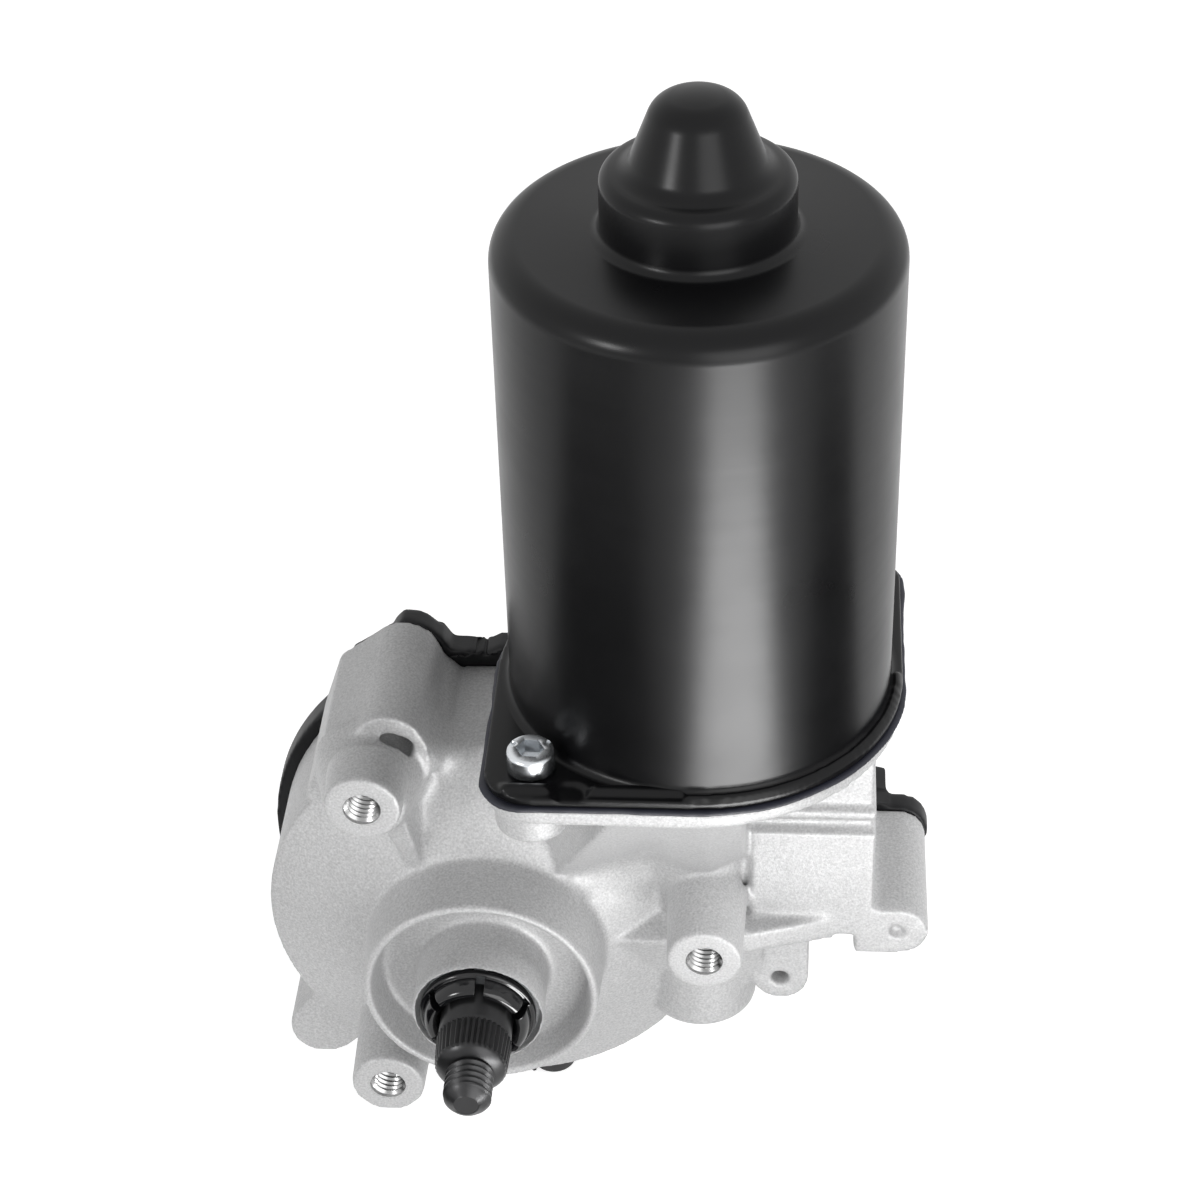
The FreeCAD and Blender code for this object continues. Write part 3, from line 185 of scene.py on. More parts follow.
def turnPiece(name, centre, axis, steps, segments=128, smooth=40):
    # A ring is grown along the axis: each step is a radius and a station on the axis.
    clearSelection()
    first = steps[0]
    bpy.ops.mesh.primitive_circle_add(vertices=segments, radius=max(first[0], tiny), fill_type="NOTHING")
    piece = bpy.context.object
    piece.location = (0, 0, first[1])
    bpy.ops.object.transform_apply(location=True)
    bpy.ops.object.mode_set(mode="EDIT")
    bpy.ops.mesh.select_all(action="SELECT")
    last = first
    for step in steps[1:]:
        grow = max(step[0], tiny) / max(last[0], tiny)
        bpy.ops.mesh.extrude_edges_move(TRANSFORM_OT_translate={"value": (0, 0, step[1] - last[1])})
        bpy.ops.transform.resize(value=(grow, grow, 1), center_override=(0, 0, step[1]))
        last = step
    bpy.ops.mesh.select_all(action="SELECT")
    bpy.ops.mesh.remove_doubles(threshold=2 * tiny)
    bpy.ops.mesh.normals_make_consistent(inside=False)
    bpy.ops.object.mode_set(mode="OBJECT")
    if axis == "Y":
        piece.rotation_euler = (-math.pi / 2, 0, 0)
    piece.location = centre
    settle(piece, name)
    smoothBy(piece, smooth)
    return piece


def arcSteps(centreRadius, centreStation, radius, start, end, count):
    # Stations of a round corner, with angles from the outward direction in degrees.
    steps = []
    for index in range(count + 1):
        angle = math.radians(start + (end - start) * index / count)
        steps.append((centreRadius + radius * math.cos(angle), centreStation + radius * math.sin(angle)))
    return steps


def copyNode(node, name):
    # A merged copy of a CAD piece; the CAD piece itself is left as it is.
    takeUp(frame["nodes"][node])
    bpy.ops.object.duplicate()
    piece = bpy.context.object
    matrix = piece.matrix_world.copy()
    piece.parent = None
    piece.matrix_world = matrix
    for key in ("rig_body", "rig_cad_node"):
        if key in piece:
            del piece[key]
    piece.name = name
    bpy.ops.object.mode_set(mode="EDIT")
    bpy.ops.mesh.select_all(action="SELECT")
    bpy.ops.mesh.remove_doubles(threshold=tiny)
    bpy.ops.object.mode_set(mode="OBJECT")
    return piece


def cutWith(piece, cutter):
    takeUp(piece)
    modifier = piece.modifiers.new("cut", "BOOLEAN")
    modifier.operation = "DIFFERENCE"
    modifier.solver = "EXACT"
    modifier.object = cutter
    bpy.ops.object.modifier_apply(modifier="cut")
    bpy.data.objects.remove(cutter)


# Materials
def newMaterial(name):
    material = bpy.data.materials.new(name)
    material.use_nodes = True
    tree = material.node_tree
    shader = tree.nodes["Principled BSDF"]
    return material, tree, shader


def objectNoise(tree, scale, detail=2.0, roughness=0.5, stretch=None):
    place = tree.nodes.new("ShaderNodeTexCoord")
    source = place.outputs["Object"]
    if stretch:
        mapping = tree.nodes.new("ShaderNodeMapping")
        mapping.inputs["Scale"].default_value = stretch
        tree.links.new(source, mapping.inputs["Vector"])
        source = mapping.outputs["Vector"]
    noise = tree.nodes.new("ShaderNodeTexNoise")
    noise.inputs["Scale"].default_value = scale
    noise.inputs["Detail"].default_value = detail
    noise.inputs["Roughness"].default_value = roughness
    tree.links.new(source, noise.inputs["Vector"])
    return noise


def rampBetween(tree, source, low, high, first, last):
    ramp = tree.nodes.new("ShaderNodeValToRGB")
    ramp.color_ramp.elements[0].position = low
    ramp.color_ramp.elements[1].position = high
    ramp.color_ramp.elements[0].color = first
    ramp.color_ramp.elements[1].color = last
    tree.links.new(source, ramp.inputs["Fac"])
    return ramp


def bumpFrom(tree, shader, source, strength, distance):
    bump = tree.nodes.new("ShaderNodeBump")
    bump.inputs["Strength"].default_value = strength
    bump.inputs["Distance"].default_value = distance
    tree.links.new(source, bump.inputs["Height"])
    tree.links.new(bump.outputs["Normal"], shader.inputs["Normal"])
    return bump


def grey(value, alpha=1.0):
    return (value, value, value, alpha)


def castAluminium():
    # Blasted die casting: fine sandy grains under a slightly patchy gloss.
    material, tree, shader = newMaterial("castAluminium")
    shader.inputs["Metallic"].default_value = 0.12
    grain = objectNoise(tree, 2600, 2, 0.6)
    colour = rampBetween(tree, grain.outputs["Fac"], 0.25, 0.8, (0.41, 0.41, 0.415, 1), (0.68, 0.68, 0.68, 1))
    tree.links.new(colour.outputs["Color"], shader.inputs["Base Color"])
    patches = objectNoise(tree, 90, 3, 0.6)
    dull = rampBetween(tree, patches.outputs["Fac"], 0.3, 0.75, grey(0.46), grey(0.62))
    tree.links.new(dull.outputs["Color"], shader.inputs["Roughness"])
    fine = objectNoise(tree, 2100, 2, 0.7)
    bumpFrom(tree, shader, fine.outputs["Fac"], 0.35, 0.0002)
    return material


def blackPaint():
    # Satin gloss paint, with faint rings left by the drawing of the can.
    material, tree, shader = newMaterial("blackPaint")
    shader.inputs["Base Color"].default_value = (0.004, 0.004, 0.0045, 1)
    shader.inputs["Roughness"].default_value = 0.3
    shader.inputs["Specular IOR Level"].default_value = 0.22
    cloud = objectNoise(tree, 60, 3, 0.6)
    level = rampBetween(tree, cloud.outputs["Fac"], 0.3, 0.7, grey(0.27), grey(0.33))
    tree.links.new(level.outputs["Color"], shader.inputs["Roughness"])
    rings = objectNoise(tree, 260, 2, 0.5, (0.04, 0.04, 1))
    drawn = tree.nodes.new("ShaderNodeBump")
    drawn.inputs["Strength"].default_value = 0.1
    drawn.inputs["Distance"].default_value = 0.0003
    tree.links.new(rings.outputs["Fac"], drawn.inputs["Height"])
    peel = objectNoise(tree, 500, 2, 0.5)
    skin = bumpFrom(tree, shader, peel.outputs["Fac"], 0.04, 0.0001)
    tree.links.new(drawn.outputs["Normal"], skin.inputs["Normal"])
    return material


def plainFinish(name, colour, metallic, roughness, spread=0.06, scale=300, bump=0.1, gloss=0.5):
    # A finish with a little change of roughness and a fine bump.
    material, tree, shader = newMaterial(name)
    shader.inputs["Metallic"].default_value = metallic
    shader.inputs["Specular IOR Level"].default_value = gloss
    tint = objectNoise(tree, scale * 0.4, 3, 0.6)
    darker = tuple(value * 0.85 for value in colour) + (1,)
    lighter = tuple(min(1.0, value * 1.1) for value in colour) + (1,)
    shade = rampBetween(tree, tint.outputs["Fac"], 0.3, 0.7, darker, lighter)
    tree.links.new(shade.outputs["Color"], shader.inputs["Base Color"])
    level = rampBetween(tree, tint.outputs["Fac"], 0.25, 0.75, grey(max(0.02, roughness - spread)),
                        grey(min(1.0, roughness + spread)))
    tree.links.new(level.outputs["Color"], shader.inputs["Roughness"])
    fine = objectNoise(tree, scale * 3, 2, 0.5)
    bumpFrom(tree, shader, fine.outputs["Fac"], bump, 0.0001)
    return material


finishes = {
    "cast_aluminium": castAluminium(),
    "black_painted_steel": blackPaint(),
    "gasket_rubber": plainFinish("gasketRubber", (0.012, 0.013, 0.022), 0.0, 0.55, bump=0.3),
    "zinc_plated_steel": plainFinish("zincPlate", (0.62, 0.64, 0.66), 1.0, 0.24),
    "black_nylon": plainFinish("blackNylon", (0.009, 0.009, 0.01), 0.0, 0.45, bump=0.2, gloss=0.25),
    "black_rubber": plainFinish("blackRubber", (0.03, 0.03, 0.031), 0.0, 0.5, bump=0.25, gloss=0.3),
    "brass_terminal": plainFinish("brassStrip", (0.75, 0.58, 0.28), 1.0, 0.3),
    "ferrite": plainFinish("ferrite", (0.05, 0.05, 0.055), 0.0, 0.6, bump=0.3),
    "spring_steel": plainFinish("springSteel", (0.4, 0.4, 0.42), 1.0, 0.35),
    "sintered_bronze": plainFinish("sinteredBronze", (0.5, 0.34, 0.18), 1.0, 0.5, bump=0.4),
    "bearing_steel": plainFinish("groundSteel", (0.6, 0.6, 0.62), 1.0, 0.22),
    "white_acetal": plainFinish("whiteAcetal", (0.78, 0.77, 0.72), 0.0, 0.45),
    "brown_phenolic": plainFinish("brownPhenolic", (0.16, 0.08, 0.04), 0.0, 0.5, bump=0.3),
    "carbon": plainFinish("brushCarbon", (0.03, 0.03, 0.032), 0.1, 0.55, bump=0.4),
    "copper_wire": plainFinish("copperWire", (0.72, 0.33, 0.16), 1.0, 0.35, bump=0.3),
    "lamination_steel": plainFinish("laminationSteel", (0.35, 0.35, 0.37), 1.0, 0.4, bump=0.3),
    "black_phosphate_steel": plainFinish("blackPhosphate", (0.03, 0.03, 0.031), 0.6, 0.33, bump=0.15),
    "gloss_black_clip": plainFinish("glossBlackClip", (0.006, 0.006, 0.007), 0.0, 0.12, 0.03, bump=0.05),
    "cut_aluminium": plainFinish("cutAluminium", (0.34, 0.34, 0.34), 1.0, 0.26, bump=0.05),
}
slotOf = {part["node"]: part["material_slot"] for part in frame["record"]["subparts"]}
for nodeName, nodeObject in frame["nodes"].items():
    nodeObject.data.materials.clear()
    nodeObject.data.materials.append(finishes[slotOf[nodeName]])


def finishPiece(piece, slot, body, *nodes):
    # The piece takes the finish of the given slot, joins its body and hides the CAD nodes it stands for; cut
    # threads have their own finish.
    piece.data.materials.clear()
    piece.data.materials.append(finishes[slot])
    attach(piece, body)
    if nodes:
        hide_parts(*nodes)
    print(piece.name, "is ready")


# Selection by place, used by the pieces below
def pickVertices(piece, test):
    # Selects the vertices for which the test says yes; the piece is in edit mode afterwards.
    takeUp(piece)
    bpy.ops.object.mode_set(mode="EDIT")
    bpy.ops.mesh.select_mode(type="VERT")
    bpy.ops.mesh.select_all(action="DESELECT")
    bpy.ops.object.mode_set(mode="OBJECT")
    for vertex in piece.data.vertices:
        vertex.select = test(vertex.co)
    bpy.ops.object.mode_set(mode="EDIT")


def leaveEdit():
    bpy.ops.object.mode_set(mode="OBJECT")


def remeshSmooth(piece, voxel, rounds, factor=0.5):
    remesh = piece.modifiers.new("remesh", "REMESH")
    remesh.mode = "VOXEL"
    remesh.voxel_size = voxel
    remesh.use_smooth_shade = True
    relax = piece.modifiers.new("relax", "SMOOTH")
    relax.factor = factor
    relax.iterations = rounds
    applyAll(piece)
    takeUp(piece)
    bpy.ops.object.shade_smooth()


def countTriangles(piece):
    return sum(len(face.vertices) - 2 for face in piece.data.polygons)


def thinTo(piece, triangles):
    count = countTriangles(piece)
    if count > triangles:
        thin = piece.modifiers.new("thin", "DECIMATE")
        thin.ratio = triangles / count
        applyAll(piece)


def bevelEdges(piece, width, degrees):
    bevel = piece.modifiers.new("edge", "BEVEL")
    bevel.width = width
    bevel.segments = 2
    bevel.limit_method = "ANGLE"
    bevel.angle_limit = math.radians(degrees)
    applyAll(piece)


def between(value, low, high):
    # 0 up to the low value, 1 from the high one, and in proportion between them.
    return min(1, max(0, (value - low) / (high - low)))


def makeThread(name, crest, root, pitch, turns, place, steps=40):
    # One thread profile is wound about the local axis with a Screw modifier, then laid along +Y.
    clearSelection()
    bpy.ops.mesh.primitive_plane_add(size=1)
    thread = bpy.context.object
    bpy.ops.object.mode_set(mode="EDIT")
    bpy.ops.mesh.delete(type="ONLY_FACE")
    bpy.ops.object.mode_set(mode="OBJECT")
    stations = ((root, 0.0), (crest, 0.42), (crest, 0.58), (root, 1.0))
    cornersInTurn = (0, 1, 3, 2)
    for index, (radius, part) in zip(cornersInTurn, stations):
        thread.data.vertices[index].co = (radius, 0, part * pitch)
    pickVertices(thread, lambda co: abs(co.x - root) < tiny)
    bpy.ops.mesh.select_mode(type="EDGE")
    bpy.ops.mesh.delete(type="EDGE")
    leaveEdit()
    wind = thread.modifiers.new("wind", "SCREW")
    wind.axis = "Z"
    wind.steps = steps
    wind.render_steps = steps
    wind.screw_offset = pitch
    wind.iterations = turns
    wind.use_merge_vertices = True
    wind.merge_threshold = tiny
    applyAll(thread)
    thread.rotation_euler = (-math.pi / 2, 0, 0)
    thread.location = place
    settle(thread, name)
    smoothBy(thread, 35)
    return thread


# Housing: the casting is remeshed so that every edge and inner corner is rounded
housing = {
    "voxel": 0.5 * mm,
    "smoothing": 7,
    "triangles": 185000,
    "threadCrest": 2.55 * mm,
    "threadRoot": 3.05 * mm,
    "threadPitch": 1.0 * mm,
    "threadDepth": 7.0 * mm,
    "threadStart": 0.35 * mm,
    "drillAbove": 1.0 * mm,
    "drillSides": 64,
    "mouth": [Vector((3.3, -0.01)) * mm, Vector((3.0, 0.4)) * mm],
    "keptBoss": 7.4 * mm,
    # Places where the casting flows together: low corner, high corner, rounds of smoothing
    "soft": [
        (Vector((13.0, 5.0, 1.5)) * mm, Vector((33.5, 21.0, 13.0)) * mm, 140),
        (Vector((-9.2, 14.0, 20.0)) * mm, Vector((-1.0, 27.0, 31.5)) * mm, 120),
        (Vector((-13.0, 12.0, 13.5)) * mm, Vector((-8.6, 22.0, 24.0)) * mm, 50),
    ],
}


def bossPlaces():
    circle = mounts["mounting_bosses"]["dims"]["pcd_mm"] / 2 * mm
    return [Vector((circle * math.cos(math.radians(turn)), 0, circle * math.sin(math.radians(turn))))
            for turn in (0, 120, 240)]


def inBox(co, low, high):
    return all(low[axis] < co[axis] < high[axis] for axis in range(3))


def softenPlaces(piece, size, boss):
    # The boss beside the first place keeps its form.
    for low, high, rounds in size["soft"]:
        pickVertices(piece, lambda co: inBox(co, low, high)
                     and math.hypot(co.x - boss.x, co.z - boss.z) > size["keptBoss"])
        bpy.ops.mesh.vertices_smooth(factor=0.5, repeat=rounds)
        leaveEdit()


def makeHousing(size):
    piece = copyNode("gear_housing", "housing_casting")
    remeshSmooth(piece, size["voxel"], size["smoothing"])
    softenPlaces(piece, size, bossPlaces()[0])
    thinTo(piece, size["triangles"])
    depth = size["threadDepth"] + 2 * size["drillAbove"]
    for place in bossPlaces():
        clearSelection()
        bpy.ops.mesh.primitive_cylinder_add(
            vertices=size["drillSides"], radius=size["threadRoot"], depth=depth,
            location=(place.x, depth / 2 - 2 * size["drillAbove"], place.z), rotation=(math.pi / 2, 0, 0))
        cutWith(piece, bpy.context.object)
    smoothBy(piece, 50)
    finishPiece(piece, "cast_aluminium", "housing", "gear_housing")
    print("housing triangles:", countTriangles(piece))


def makeBossThreads(size):
    threads = []
    turns = int(size["threadDepth"] / size["threadPitch"]) - 1
    for index, place in enumerate(bossPlaces()):
        start = place + Vector((0, size["threadStart"], 0))
        threads.append(makeThread(f"thread{index}", size["threadCrest"], size["threadRoot"],
                                  size["threadPitch"], turns, start))
        threads.append(turnPiece(f"mouth{index}", place, "Y", size["mouth"], size["drillSides"]))
    finishPiece(joinPieces(threads, "boss_threads"), "cut_aluminium", "housing")


makeHousing(housing)
makeBossThreads(housing)


# Motor can: turned shell with a stepped nose, over a flange with two screw ears
canSize = {
    "radius": 30.5 * mm,
    "corner": 4.2 * mm,
    "flangeRadius": 32.5 * mm,
    "flangeHeight": 1.6 * mm,
    "noseRadius": 14.3 * mm,
    "noseFoot": 1.6 * mm,
    "noseCorner": 2.0 * mm,
    "noseTop": 11.9 * mm,       # below the dome's tip
    "noseHeight": 9.8 * mm,
    "domeBase": 9.6 * mm,
    "domeFoot": 3.0 * mm,
    "domeFlank": 21,            # degrees from upright
    "domeRound": 4.5 * mm,
    "domeMiddle": Vector((3.0, 4.815)) * mm,    # of the round edge, from the axis and below the tip
    "domeCap": 78,              # degrees round the edge where the shallow cap begins
    "footFillet": 1.4 * mm,
    "sides": 160,
}


def makeCan(size):
    low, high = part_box("motor_can")
    seat = low.z
    noseTop = high.z - size["noseTop"]
    top = noseTop - size["noseHeight"]
    footRadius = size["radius"] + size["footFillet"]
    foot = seat + size["flangeHeight"]
    steps = [(footRadius, foot)]
    steps += arcSteps(footRadius, foot + size["footFillet"], -size["footFillet"], 90, 0, 6)
    steps += arcSteps(size["radius"] - size["corner"], top - size["corner"], size["corner"], 0, 90, 12)
    steps += arcSteps(size["noseRadius"] + size["noseFoot"], top + size["noseFoot"],
                      -size["noseFoot"], 90, 0, 6)
    steps += arcSteps(size["noseRadius"] - size["noseCorner"], noseTop - size["noseCorner"],
                      size["noseCorner"], 0, 75, 8)
    steps += arcSteps(size["domeBase"] + size["domeFoot"], noseTop + size["domeFoot"], -size["domeFoot"],
                      80, size["domeFlank"], 8)
    edge = arcSteps(size["domeMiddle"].x, high.z - size["domeMiddle"].y, size["domeRound"],
                    size["domeFlank"], size["domeCap"], 12)
    capRadius = edge[-1][0] / math.cos(math.radians(size["domeCap"]))
    steps += edge + arcSteps(0, high.z - capRadius, capRadius, size["domeCap"] + 4, 90, 5)
    shell = turnPiece("can_shell", (motorX, motorY, 0), "Z", steps, size["sides"], 60)
    finishPiece(shell, "black_painted_steel", "housing", "motor_can")


makeCan(canSize)


# Flange of the can: pressed sheet with raised pads along its front edge and a dimple between them
flangeSize = {
    "thickness": 1.6 * mm,
    "voxel": 0.36 * mm,
    "smoothing": 8,
    "padHeight": 0.9 * mm,
    "padRounds": 4,
    "padFront": -7.7 * mm,
    "padBack": -5.9 * mm,
    "padLeft": (5.2 * mm, 12.6 * mm),
    "padRight": (19.2 * mm, 33.5 * mm),
    "dimple": Vector((15.8, -7.4)) * mm,
    "dimpleRadius": 2.5 * mm,
    "dimpleDepth": 0.5 * mm,
    "dimpleRounds": 3,
    "ringPad": (0.5 * mm, 1.5 * mm),    # from the rim, where the pad follows the round
}


def makeFlange(size):
    low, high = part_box("flange_gasket")
    piece = copyNode("flange_gasket", "can_flange")
    bpy.ops.object.mode_set(mode="EDIT")
    bpy.ops.mesh.select_all(action="SELECT")
    bpy.ops.transform.translate(value=(0, 0, high.z - low.z))
    grow = size["thickness"] / (high.z - low.z)
    bpy.ops.transform.resize(value=(1, 1, grow), center_override=(0, 0, high.z))
    leaveEdit()
    remeshSmooth(piece, size["voxel"], size["smoothing"])
    middle = high.z + size["thickness"] / 2
    rimRadius = canSize["flangeRadius"]

    def onPad(co):
        if co.z < middle:
            return False
        for first, last in (size["padLeft"], size["padRight"]):
            if first < co.x < last:
                return size["padFront"] < co.y < size["padBack"]
        inside = rimRadius - math.hypot(co.x - motorX, co.y - motorY)
        onRound = co.x >= size["padRight"][1] and co.y < motorY
        return onRound and size["ringPad"][0] < inside < size["ringPad"][1]

    pickVertices(piece, onPad)
    bpy.ops.transform.translate(value=(0, 0, size["padHeight"]))
    bpy.ops.mesh.select_more()
    bpy.ops.mesh.vertices_smooth(factor=0.5, repeat=size["padRounds"])
    leaveEdit()
    spot = size["dimple"]
    pickVertices(piece, lambda co: co.z > middle
                 and math.hypot(co.x - spot.x, co.y - spot.y) < size["dimpleRadius"])
    bpy.ops.transform.translate(value=(0, 0, -size["dimpleDepth"]))
    bpy.ops.mesh.select_more()
    bpy.ops.mesh.vertices_smooth(factor=0.5, repeat=size["dimpleRounds"])
    leaveEdit()
    finishPiece(piece, "black_painted_steel", "housing")


makeFlange(flangeSize)


# Gasket: cut by hand, so its edge waves and stands a little proud
gasketSize = {
    "grow": 1.022,
    "voxel": 0.32 * mm,
    "smoothing": 3,
    "still": 1 * mm,            # outside the can, where the sheet lies flat
    "wave": 0.9 * mm,
    "waveScale": 9 * mm,
}


def makeGasket(size):
    piece = copyNode("flange_gasket", "gasket_sheet")
    bpy.ops.object.mode_set(mode="EDIT")
    bpy.ops.mesh.select_all(action="SELECT")
    bpy.ops.transform.resize(value=(size["grow"], size["grow"], 1), center_override=(motorX, motorY, 0))
    leaveEdit()
    remeshSmooth(piece, size["voxel"], size["smoothing"])
    outer = piece.vertex_groups.new(name="rim")
    rim = [vertex.index for vertex in piece.data.vertices
           if math.hypot(vertex.co.x - motorX, vertex.co.y - motorY) > canSize["radius"] + size["still"]]
    outer.add(rim, 1.0, "REPLACE")
    ripple = bpy.data.textures.new("gasketWave", "CLOUDS")
    ripple.noise_scale = size["waveScale"]
    for axis in ("X", "Y"):
        wave = piece.modifiers.new("wave" + axis, "DISPLACE")
        wave.texture = ripple
        wave.direction = axis
        wave.strength = size["wave"]
        wave.vertex_group = "rim"
    applyAll(piece)
    finishPiece(piece, "gasket_rubber", "housing", "flange_gasket")


makeGasket(gasketSize)


# Can screws: rounded heads with a hexagon socket and two nicks
screwSize = {
    "inset": 7.3 * mm,          # along X and along Y, from the flange's square outside
    "radius": 3.75 * mm,
    "sides": 72,
    "round": 0.7 * mm,
    "neck": 3.3 * mm,
    "neckHeight": 0.5 * mm,
    "shank": 2.3 * mm,
    "shankLength": 2 * mm,
    "lift": 0.02 * mm,
    "socketCorner": 2.24 * mm,
    "socketDepth": 2.4 * mm,
    "nick": 0.75 * mm,
    "nickSides": 24,
    "nickReach": 0.86,
    "nickDepth": 0.6 * mm,
    "nickTurns": (0, 132),
    "turns": (28, 75),
    "edge": 0.12 * mm,
}


def makeScrews(size):
    low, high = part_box("can_screws")
    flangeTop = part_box("flange_gasket")[1].z + flangeSize["thickness"]
    reach = canSize["flangeRadius"] - size["inset"]
    underHead = flangeTop + size["lift"]
    heads = []
    for index, way in enumerate((-1, 1)):
        centre = Vector((motorX + reach * way, motorY + reach * way, 0))
        steps = [
            (0, flangeTop - size["shankLength"]), (size["shank"], flangeTop - size["shankLength"]),
            (size["shank"], underHead), (size["neck"], underHead),
            (size["radius"], flangeTop + size["neckHeight"]),
        ]
        steps += arcSteps(size["radius"] - size["round"], high.z - size["round"], size["round"], 0, 90, 5)
        steps += [(0, high.z)]
        head = turnPiece(f"head{index}", centre, "Z", steps, size["sides"])
        clearSelection()
        bpy.ops.mesh.primitive_cylinder_add(
            vertices=6, radius=size["socketCorner"], depth=size["socketDepth"] * 2,
            location=(centre.x, centre.y, high.z), rotation=(0, 0, math.radians(size["turns"][index])))
        cutWith(head, bpy.context.object)
        for turn in size["nickTurns"]:
            angle = math.radians(turn + size["turns"][index])
            reachOut = size["radius"] * size["nickReach"]
            spot = centre + Vector((math.cos(angle), math.sin(angle), 0)) * reachOut
            clearSelection()
            bpy.ops.mesh.primitive_cylinder_add(
                vertices=size["nickSides"], radius=size["nick"], depth=size["nickDepth"] * 2,
                location=(spot.x, spot.y, high.z))
            cutWith(head, bpy.context.object)
        bevelEdges(head, size["edge"], 45)
        smoothBy(head, 45)
        heads.append(head)
    finishPiece(joinPieces(heads, "can_screw_heads"), "zinc_plated_steel", "housing", "can_screws")


makeScrews(screwSize)


# Output shaft: serrated taper, smooth bevel and rolled thread
shaftSize = {
    # A pair is a step inwards along the radius and a step along the shaft.
    "body": 6.0 * mm,
    "bodySides": 96,
    "back": 30.5 * mm,
    "chamfer": 0.6 * mm,
    "neck": 0.5 * mm,
    "lead": 0.3 * mm,
    "serrations": 40,
    "serrationDepth": 0.6 * mm,
    "serrationStart": -10.1 * mm,
    "serrationEnd": -15.6 * mm,
    "serrationBig": 6.2 * mm,
    "serrationSmall": 5.9 * mm,
    "serrationEdge": (0.1 * mm, 0.12 * mm),
    "sunkMargin": (0.05 * mm, 0.1 * mm),    # at the small end and at the big end
    "shoulder": -16.1 * mm,
    "shoulderEdge": (0.45 * mm, 0.1 * mm),
    "bevelEnd": -17.1 * mm,
    "bevelRadius": 4.1 * mm,
    "bevelFoot": (0.2 * mm, 0.1 * mm),
    "threadCrest": 3.95 * mm,
    "threadRoot": 3.3 * mm,
    "threadPitch": 1.25 * mm,
    "threadSides": 48,
    "threadBefore": 0.2 * mm,   # how far the turns start in front of the tip
    "threadSink": 0.03 * mm,
    "tipSink": 0.02 * mm,
    "tip": -24.1 * mm,
    "tipRadius": 2.15 * mm,
    "tipSides": 64,
    "tipEdge": 0.15 * mm,
    "tipRoot": (0.25 * mm, 0.6 * mm),
    "tipCrest": (0.2 * mm, 1.35 * mm),
    "tipBack": 1.75 * mm,
    "tipSlope": 1.25,           # growth of the thread's radius behind the tip
}


def makeShaft(size):
    centre = Vector((outputX, 0, outputZ))
    body, start, end = size["body"], size["serrationStart"], size["serrationEnd"]
    parts = [turnPiece("shaft_body", centre, "Y", [
        (0, size["back"]), (body - size["chamfer"], size["back"]), (body, size["back"] - size["chamfer"]),
        (body, start + size["chamfer"]), (body - size["neck"], start)], size["bodySides"])]
    sides = size["serrations"] * 4
    groove = turnPiece("serrations", centre, "Y", [
        (body - size["neck"], start + size["lead"]),
        (size["serrationBig"], start - size["lead"]),
        (size["serrationSmall"], end),
        (size["serrationSmall"] - size["serrationEdge"][0], end - size["serrationEdge"][1]),
        (size["serrationSmall"] - size["shoulderEdge"][0], size["shoulder"] - size["shoulderEdge"][1]),
        (size["bevelRadius"], size["bevelEnd"]),
        (size["threadRoot"] - size["bevelFoot"][0], size["bevelEnd"] - size["bevelFoot"][1])], sides, 30)

    def inGroove(co):
        # Two of the four sides of each serration are sunk.
        if not end - size["sunkMargin"][0] < co.y < start - size["sunkMargin"][1]:
            return False
        turn = math.atan2(co.z - outputZ, co.x - outputX) / (2 * math.pi) * sides
        return round(turn) % 4 in (0, 1)

    pickVertices(groove, inGroove)
    shrink = 1 - size["serrationDepth"] / size["serrationBig"]
    bpy.ops.transform.resize(value=(shrink, 1, shrink), center_override=(outputX, 0, outputZ))
    leaveEdit()
    parts.append(groove)
    tip = size["tip"]
    turns = int((size["bevelEnd"] - tip) / size["threadPitch"]) + 1
    thread = makeThread("shaft_thread", size["threadCrest"], size["threadRoot"], size["threadPitch"],
                        turns, centre + Vector((0, tip - size["threadBefore"], 0)), size["threadSides"])
    for vertex in thread.data.vertices:
        # The thread fades into the tip's chamfer.
        across = Vector((vertex.co.x - outputX, 0, vertex.co.z - outputZ))
        most = size["tipRadius"] + max(0.0, vertex.co.y - tip) * size["tipSlope"] - size["threadSink"]
        if across.length > most:
            vertex.co.x = outputX + across.x * most / across.length
            vertex.co.z = outputZ + across.z * most / across.length
        vertex.co.y = max(vertex.co.y, tip + size["tipSink"])
    parts.append(thread)
    parts.append(turnPiece("shaft_tip", centre, "Y", [
        (0, tip), (size["tipRadius"] - size["tipEdge"], tip), (size["tipRadius"], tip + size["tipEdge"]),
        (size["threadRoot"] - size["tipRoot"][0], tip + size["tipRoot"][1]),
        (size["threadCrest"] - size["tipCrest"][0], tip + size["tipCrest"][1]),
        (size["threadRoot"], tip + size["tipBack"]), (size["threadRoot"], size["bevelEnd"])],
        size["tipSides"]))
    finishPiece(joinPieces(parts, "output_shaft_detail"), "black_phosphate_steel", "output", "output_shaft")


makeShaft(shaftSize)


# Push-on clip: a glossy dish whose domed ring is parted into six fingers
clipSize = {
    "rim": 9.65 * mm,
    "rimRound": 0.5 * mm,
    "rimSink": (0.25 * mm, 0.1 * mm),
    "hub": 6.05 * mm,
    "dome": 7.5 * mm,
    "domeWidth": 1.4 * mm,
    "domeTurn": 150,            # degrees of the dome's round
    "domeSteps": 8,
    "domeFront": -7.1 * mm,
    "rimFront": -4.35 * mm,
    "back": -2.9 * mm,
    "backEdge": 0.4 * mm,
    "hubEdge": 0.1 * mm,
    "hubRise": 0.35,            # of the dome's rise
    "fingers": 6,
    "slotTurn": 84,
    "slotWidth": 1.5 * mm,
    "slotReach": 3.36 * mm,
    "slotOut": 0.1 * mm,        # from the dome's top
    "slotHeight": 5.0 * mm,
    "slotBelow": 1.0 * mm,      # from the rim's front to the middle of a slot
    "edge": 0.14 * mm,
}


